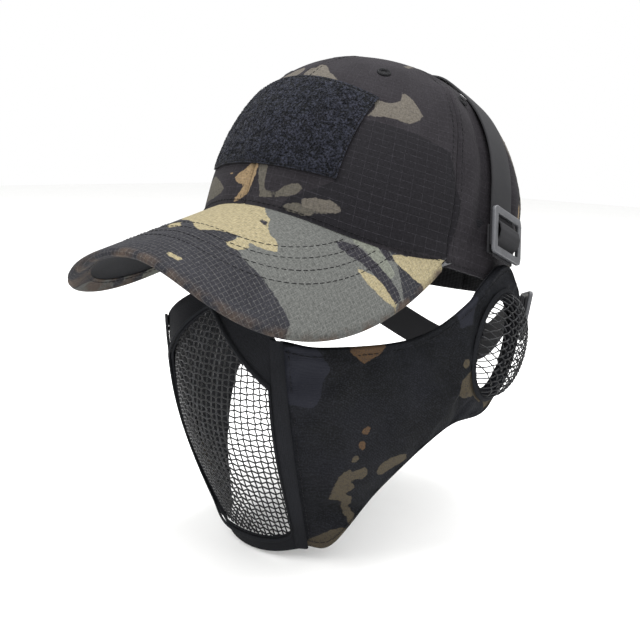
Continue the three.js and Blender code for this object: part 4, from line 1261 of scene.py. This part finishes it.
# opens the ear hole: nearby corners move to its outline, and the faces inside it go
def openEar(piece):
    up, across = wing["hole"]
    for vertex in piece.data.vertices:
        a, b = earCoordinates(vertex.co)
        k = hypot(a / up, b / across)
        if vertex.co.x > 80 * mm and 0.3 < k < 2 and abs(1 - 1 / k) * hypot(a, b) < 1.35:
            a, b = a / k, b / k
            vertex.co.y = (wing["earCentre"][0] + a * earSin - b * earCos) * mm
            vertex.co.z = (wing["earCentre"][1] + a * earCos + b * earSin) * mm
    only(piece)
    bpy.ops.object.mode_set(mode="EDIT")
    bpy.ops.mesh.select_mode(type="FACE")
    bpy.ops.mesh.select_all(action="DESELECT")
    bpy.ops.object.mode_set(mode="OBJECT")
    for face in piece.data.polygons:
        a, b = earCoordinates(face.center)
        face.select = face.center.x > 80 * mm and hypot(a / up, b / across) < 0.985
    bpy.ops.object.mode_set(mode="EDIT")
    bpy.ops.mesh.delete(type="FACE")
    bpy.ops.mesh.select_mode(type="VERT")
    bpy.ops.object.mode_set(mode="OBJECT")


def mirrorCopy(piece, name):
    only(piece)
    bpy.ops.object.duplicate()
    copy = bpy.context.object
    copy.name = copy.data.name = name
    for vertex in copy.data.vertices:
        vertex.co.x = -vertex.co.x
    flipFaces(copy)
    return copy


# soft creases of the cheek cloth, millimetres
def folds(p):
    y, z = p.y / mm, p.z / mm
    relief = 0.7 * noise.noise(Vector((y / 26, z / 26, 3.1))) + 0.25 * noise.noise(Vector((y / 9, z / 12, 8.7)))
    relief -= 1.3 * bell(y + 0.9 * z, -66, 5) * smooth(z, -62, -34)
    relief -= 1.1 * bell(y - 0.25 * z, -31, 4) * smooth(z, -52, -30)
    return relief


def puffWing(piece):
    start = [v.co.copy() for v in piece.data.vertices]
    only(piece)
    cloth = piece.modifiers.new("cloth", "CLOTH")
    settings = cloth.settings
    settings.quality, settings.mass = 6, 0.25
    settings.tension_stiffness = settings.compression_stiffness = 18
    settings.bending_stiffness, settings.shrink_min = 1.2, -0.03
    settings.use_pressure, settings.uniform_pressure_force = True, wing["pressure"]
    settings.vertex_group_mass = "hem"
    settings.effector_weights.gravity = 0
    cloth.collision_settings.use_collision = cloth.collision_settings.use_self_collision = False
    cloth.point_cache.frame_start, cloth.point_cache.frame_end = 1, 20
    for step in range(1, 21):
        bpy.context.scene.frame_set(step)
    bpy.ops.object.modifier_apply(modifier="cloth")
    bpy.context.scene.frame_set(1)
    for index, vertex in enumerate(piece.data.vertices):
        moved = vertex.co - start[index]
        if moved.length > wing["cap"] * mm:
            vertex.co = start[index] + moved.normalized() * (wing["cap"] * mm)


wingPad = newGrid("cheek_wing_pad_left", wing["columns"], wing["rows"],
                  lambda u, v: wingPoint(0.004 + 0.996 * u, 1 - v, 0))
openEar(wingPad)
hem = wingPad.vertex_groups.new(name="hem")
edgeUse = {}
for face in wingPad.data.polygons:
    for key in face.edge_keys:
        edgeUse[key] = edgeUse.get(key, 0) + 1
pinned = {i for key, count in edgeUse.items() if count == 1 for i in key}
for _ in range(wing["hem"] - 1):
    pinned |= {i for edge in wingPad.data.edges if set(edge.vertices) & pinned for i in edge.vertices}
hem.add(list(pinned), 1.0, "REPLACE")
free = {v.index for v in wingPad.data.vertices} - pinned
for index in free:
    vertex = wingPad.data.vertices[index]
    ring = smooth(abs(vertex.co.y / mm - 34), 0, 12)
    vertex.co += Vector((1, -0.35, 0)).normalized() * ((folds(vertex.co) * 0.8 - 0.5) * mm * ring)
outerCount = len(wingPad.data.vertices)
apply(wingPad, "SOLIDIFY", thickness=wing["depth"] * mm, offset=-1)
wingPad.vertex_groups["hem"].add(list(range(outerCount, len(wingPad.data.vertices))), 1.0, "REPLACE")
puffWing(wingPad)
apply(wingPad, "SUBSURF", levels=1, render_levels=1)
smoothShade(wingPad, 70)
wingRight = mirrorCopy(wingPad, "cheek_wing_pad_right")


def wingDomain(co):
    return co.y / mm, co.z / mm


def wingLoose(name, co):
    return patches(co, 24, dict(olive=0.36, sand=0.5, grey=0.2)[name],
                   dict(olive=7.7, sand=3.3, grey=5.1)[name])


paintFields(wingPad, wingFields, wingDomain)
paintFields(wingRight, {name: [] for name in wingFields}, wingDomain, wingLoose)
for side, mirror, pad in (("left", 1, wingPad), ("right", -1, wingRight)):
    dress(pad, wingNylon, "mask", "nylon", f"cheek_wing_{side}", f"wing_foam_{side}")
    runs = []
    for rowAt in (lambda k: (0.03 + 0.95 * k, 0.045), lambda k: (0.03 + 0.95 * k, 0.96),
                  lambda k: (0.047, 0.03 + 0.94 * k)):
        row = []
        for k in range(81):
            s, t = rowAt(k / 80)
            row.append((mirrored(wingPoint(s, t, 0.12), mirror), mirrored(wingNormal(s, t), mirror)))
        runs += stitches(row, 2.4, 0.8, 0.16)
    dress(newThreads(f"cheek_wing_stitches_{side}", runs, 0.18, 2), threadBlack, "mask", "black_cloth")
lining = newGrid("wing_lining_knit_left", wing["columns"], wing["rows"],
                 lambda u, v: wingPoint(0.012 + 0.98 * u, 0.99 - 0.98 * v, -4.5), (165, 90))
openEar(lining)
apply(lining, "SOLIDIFY", thickness=wing["lining"] * mm, offset=-1)
smoothShade(lining)
liningRight = mirrorCopy(lining, "wing_lining_knit_right")
for side, piece in (("left", lining), ("right", liningRight)):
    dress(piece, liningKnit, "mask", "lining", f"wing_lining_{side}")
print("wings")


# woven wire
wire = dict(radius=0.4, crimp=0.42, sway=0.3, earPitch=2.9, frontPitch=3.4, frontRow=3.1, bulge=14)


def earPlace(up, across, height, mirror):
    y = wing["earCentre"][0] + up * earSin - across * earCos
    z = wing["earCentre"][1] + up * earCos + across * earSin
    return Vector((mirror * (wing["earX"] + 0.3 + height), y, z)) * mm


def domeHeight(up, across):
    k = hypot(up / wing["earHalf"][0], across / wing["earHalf"][1])
    return wire["bulge"] * sqrt(max(0.0, 1 - min(k, 1) ** 2.5))


def domeWires(mirror):
    runs, pitch = [], wire["earPitch"]
    for family in (0, 1):
        for i in range(-9, 10):
            c = i * pitch

            def onPlate(d):
                p, q = (c, d) if family == 0 else (d, c)
                up, across = (p + q) * 0.7071, (p - q) * 0.7071
                return up, across, hypot(up / wing["earHalf"][0], across / wing["earHalf"][1])
            inside = [j * pitch / 4 for j in range(-48, 49) if onPlate(j * pitch / 4)[2] < 0.97]
            if len(inside) < 5:
                continue
            ends = []
            for way, start in ((-1, inside[0]), (1, inside[-1])):
                low, high = 0.0, 12.0
                for _ in range(30):
                    reach = (low + high) / 2
                    low, high = (reach, high) if onPlate(start + way * reach)[2] < 1 else (low, reach)
                ends.append([start + way * low * f for f in (0.35, 0.65, 0.85, 0.95, 1.0)])
            run = []
            for d in ends[0][::-1] + inside + ends[1]:
                up, across, k = onPlate(d)
                over = cos(pi * d / pitch) * (1 if (i + family) % 2 else -1) * (1 - smooth(k, 0.86, 0.98))
                run.append(earPlace(up, across, max(domeHeight(up, across) + wire["crimp"] * over, 0), mirror))
            runs.append(run)
    return runs


def ringPiece(name, mirror):
    def surface(u, v):
        turn = 2 * pi * (u % 1.0)
        swell = sin(pi * v)
        up = (wing["earHalf"][0] - 0.8 + 3.4 * v) * cos(turn)
        across = (wing["earHalf"][1] - 0.8 + 3.4 * v) * sin(turn)
        return earPlace(up, across, 0.1 + 1.3 * swell ** 0.6, mirror)
    ring = newGrid(name, 96, 10, surface, (150, 6))
    weldSeam(ring)
    if sum(face.normal.x for face in ring.data.polygons) * mirror < 0:
        flipFaces(ring)
    apply(ring, "SOLIDIFY", thickness=0.5 * mm, offset=-1)
    smoothShade(ring, 60)
    return ring


for side, mirror in (("left", 1), ("right", -1)):
    dome = newThreads(f"ear_dome_wire_{side}", domeWires(mirror), 0.36, 2)
    dress(dome, blackWire, "mask", "steel_mesh", f"ear_dome_{side}")
    dress(ringPiece(f"ear_dome_binding_{side}", mirror), blackCloth, "mask", "nylon", f"ear_dome_ring_{side}")
print("ear domes")


# front of the mask
front = dict(top=-6, bottom=-150, meshTop=-17, edge=0.985, shoulder=-52, floor=-139, half=0.885,
             profile=[(-6, -104), (-30, -113), (-60, -117), (-85, -112.5), (-115, -98), (-150, -78)])


def seamAtHeight(z):
    low, high = -0.3, 1.3
    for _ in range(22):
        t = (low + high) / 2
        if wingSurface(0, t).z > z:
            low = t
        else:
            high = t
    return wingSurface(0, low)


def centreAtHeight(z):
    heights, depths = zip(*front["profile"])
    if z > heights[0]:
        return depths[0] + (heights[0] - z) * 0.4
    low, high = 0.0, 1.0
    for _ in range(22):
        s = (low + high) / 2
        if catmull(heights, s) > z:
            low = s
        else:
            high = s
    return catmull(depths, low)


heightTable = {}
for step in range(-172, 12):
    heightTable[step] = (seamAtHeight(step), centreAtHeight(step))


def frontPlace(w, z):
    low = floor(z)
    k = z - low
    (seamA, midA), (seamB, midB) = heightTable[low], heightTable[low + 1]
    seam, middle = seamA.lerp(seamB, k), midA + (midB - midA) * k
    return Vector((w * seam.x, seam.y - (seam.y - middle) * (1 - abs(w) ** 2.2), z))


def frontNormal(w, z):
    normal = (frontPlace(w + 0.01, z) - frontPlace(w - 0.01, z)).cross(
        frontPlace(w, z + 0.8) - frontPlace(w, z - 0.8))
    normal.normalize()
    return normal if normal.y < 0 else -normal


def frontAt(w, z, level=0.0):
    return metres(frontPlace(w, z) + frontNormal(w, z) * level)


def frontTop(w):
    return front["top"] + (wingSurface(0, 0).z - front["top"]) * abs(w) ** 1.6


def frontBottom(w):
    return front["bottom"] + (wingSurface(0, 1).z - front["bottom"]) * abs(w) ** 2


def halfTurn(turn):
    turn = turn % (2 * pi)
    return (1, turn / pi) if turn < pi else (-1, 2 - turn / pi)


def tearPoint(turn, grow, widen=None):
    right, t = halfTurn(turn)
    half = front["half"] + (grow if widen is None else widen) / 40
    if t < 0.3:
        k = t / 0.3
        return right * half * k ** 0.8, front["meshTop"] + grow + (front["shoulder"] - front["meshTop"]) * k
    if t < 0.75:
        return right * half, front["shoulder"] + grow + (front["floor"] + 8 - front["shoulder"]) * ((t - 0.3) / 0.45)
    k = (t - 0.75) / 0.25
    return (right * half * max(cos(pi / 2 * k), 0) ** 0.5, front["floor"] + 8 - (8 + grow) * sin(pi / 2 * k))


def tearHalfWidth(z, grow):
    half = front["half"] + grow / 40
    if z > front["shoulder"] + grow:
        k = clamp((front["meshTop"] + grow - z) / (front["meshTop"] - front["shoulder"]))
        return half * k ** 0.8
    if z > front["floor"] + 8:
        return half
    k = asin(clamp((front["floor"] + 8 - z) / (8 + grow))) / (pi / 2)
    return half * max(cos(pi / 2 * k), 0) ** 0.5


def outerEdge(turn):
    right, t = halfTurn(turn)
    if t < 0.25:
        w = front["edge"] * t / 0.25
        return right * w, frontTop(w)
    if t < 0.8:
        high, low = frontTop(front["edge"]), frontBottom(front["edge"])
        return right * front["edge"], high + (low - high) * (t - 0.25) / 0.55
    w = front["edge"] * (1 - (t - 0.8) / 0.2)
    return right * w, frontBottom(w)


def turnOut(piece, toward=Vector((0, -1, 0))):
    if sum(face.normal.dot(toward) * face.area for face in piece.data.polygons) < 0:
        flipFaces(piece)


def surroundSurface(u, v):
    inner, outer = tearPoint(2 * pi * (u % 1.0), 0), outerEdge(2 * pi * (u % 1.0))
    w, z = (a + (b - a) * v for a, b in zip(inner, outer))
    return frontAt(w, z, 0.25 * noise.noise(Vector((w * 3, z / 13, 4))))


surround = newGrid("mask_surround_cloth", 180, 12, surroundSurface, (300, 20))
weldSeam(surround)
turnOut(surround)
apply(surround, "SOLIDIFY", thickness=1.0 * mm, offset=-1)
smoothShade(surround, 60)
dress(surround, blackCloth, "mask", "black_cloth", "mask_surround")


def trimSurface(u, v):
    w, z = tearPoint(2 * pi * (u % 1.0), 0.3 + 2.6 * v, 0.2 + 0.8 * v)
    return frontAt(w, z, 0.7 + 1.1 * sin(pi * clamp(v, 0.04, 0.96)) ** 0.6)


trim = newGrid("mesh_edge_tape", 200, 8, trimSurface, (300, 5))
weldSeam(trim)
turnOut(trim)
apply(trim, "SOLIDIFY", thickness=0.6 * mm, offset=-1)
smoothShade(trim, 60)
dress(trim, blackCloth, "mask", "black_cloth", "mesh_edge_binding")
trimRow = []
for k in range(241):
    w, z = tearPoint(2 * pi * k / 240, 2.2, 0.75)
    trimRow.append((frontAt(w, z, 1.0), frontNormal(w, z)))
dress(newThreads("mesh_edge_stitches", stitches(trimRow, 2.3, 0.8, 0.3), 0.18, 2), threadBlack, "mask",
      "black_cloth")

runs = []
columnsAcross, places = [], [frontAt(-1 + k / 100, -80) for k in range(201)]
marks = [0.0]
for a, b in zip(places, places[1:]):
    marks.append(marks[-1] + (b - a).length / mm)
count = int(marks[-1] / wire["frontPitch"])
for i in range(count + 1):
    goal = (marks[-1] - count * wire["frontPitch"]) / 2 + i * wire["frontPitch"]
    k = min(range(len(marks)), key=lambda n: abs(marks[n] - goal))
    columnsAcross.append(-1 + k / 100)
rowHeights = [front["meshTop"] + 2 - wire["frontRow"] * j for j in range(int(129 / wire["frontRow"]))]
for i, w in enumerate(columnsAcross):
    run = []
    for j, z in enumerate(rowHeights):
        for part in (0, 0.5):
            at = z - part * wire["frontRow"]
            if tearHalfWidth(at, 3.2) >= abs(w) and at > front["floor"] - 3.4:
                over = wire["crimp"] * cos(pi * (j + part)) * (1 if i % 2 else -1)
                drift = wire["sway"] * cos(pi * (j + part)) * (1 if i % 2 else -1) / 38
                run.append(frontAt(w + drift, at, -2.4 + over))
    if len(run) > 2:
        runs.append(run)
for j, z in enumerate(rowHeights):
    run = []
    for i, w in enumerate(columnsAcross[:-1]):
        for part in (0, 0.5):
            at = w + (columnsAcross[i + 1] - w) * part
            if tearHalfWidth(z, 3.2) >= abs(at) and z > front["floor"] - 3.4:
                over = -wire["crimp"] * cos(pi * (i + part)) * (-1 if j % 2 else 1)
                drift = wire["sway"] * cos(pi * (i + part)) * (-1 if j % 2 else 1)
                run.append(frontAt(at, z + drift, -2.4 + over))
    if len(run) > 2:
        runs.append(run)
dress(newThreads("front_mesh_wire", runs, wire["radius"], 2), blackWire, "mask", "steel_mesh", "front_mesh")


def seamSurface(mirror):
    def surface(u, v):
        t = -0.006 + 1.0 * u
        across = (2 * v - 1) * 3.4
        seam = wingSurface(0, t)
        if across < 0:
            p = frontPlace(1 + across / seam.x, seam.z)
        else:
            p = wingSurface(across / 130, t)
        a, c = frontPlace(1 - 3.5 / seam.x, seam.z), wingSurface(3.5 / 130, t)
        normal = (c - a).cross(wingSurface(0, t + 0.01) - wingSurface(0, t - 0.01)).normalized()
        if normal.dot(Vector((1, -1, 0))) < 0:
            normal = -normal
        p = p + normal * (0.7 + 1.0 * (1 - (across / 3.5) ** 4) + 0.1 * noise.noise(Vector((u * 30, v * 2, 1))))
        return metres(mirrored(p, mirror))
    return surface


for side, mirror in (("left", 1), ("right", -1)):
    tape = newGrid(f"cheek_seam_tape_{side}", 120, 12, seamSurface(mirror), (120, 7))
    turnOut(tape, Vector((mirror, -1, 0)))
    apply(tape, "SOLIDIFY", thickness=0.6 * mm, offset=-1)
    smoothShade(tape, 60)
    dress(tape, blackCloth, "mask", "black_cloth", f"cheek_seam_binding_{side}")
print("mask front")


# floor and light
def addStage():
    bpy.ops.object.select_all(action="DESELECT")
    bpy.ops.mesh.primitive_plane_add(size=6, location=(0, 0, 0))
    ground = bpy.context.object
    ground.name = "floor"
    for vertex in ground.data.vertices:
        vertex.co.z = -0.1515
    ground.data.materials.append(floorPaper("floor_paper"))
    world = bpy.data.worlds.new("studio")
    bpy.context.scene.world = world
    world.use_nodes = True
    world.node_tree.nodes["Background"].inputs["Color"].default_value = (1, 1, 1, 1)
    world.node_tree.nodes["Background"].inputs["Strength"].default_value = 1.0
    bpy.context.scene.view_settings.view_transform = "Standard"
    for name, place, size, power in (
        ("key", (-0.35, -0.9, 0.9), 0.9, 11), ("fill", (1.0, -0.5, 0.5), 1.0, 5),
        ("rim", (0.5, 0.9, 0.9), 0.8, 8), ("top", (0, -0.1, 1.1), 0.7, 22)):
        light = bpy.data.lights.new(name, "AREA")
        light.energy, light.size = power, size
        lamp = bpy.data.objects.new(name, light)
        bpy.context.collection.objects.link(lamp)
        lamp.location = place
        lamp.rotation_euler = (-Vector(place)).to_track_quat("-Z", "Y").to_euler()


addStage()
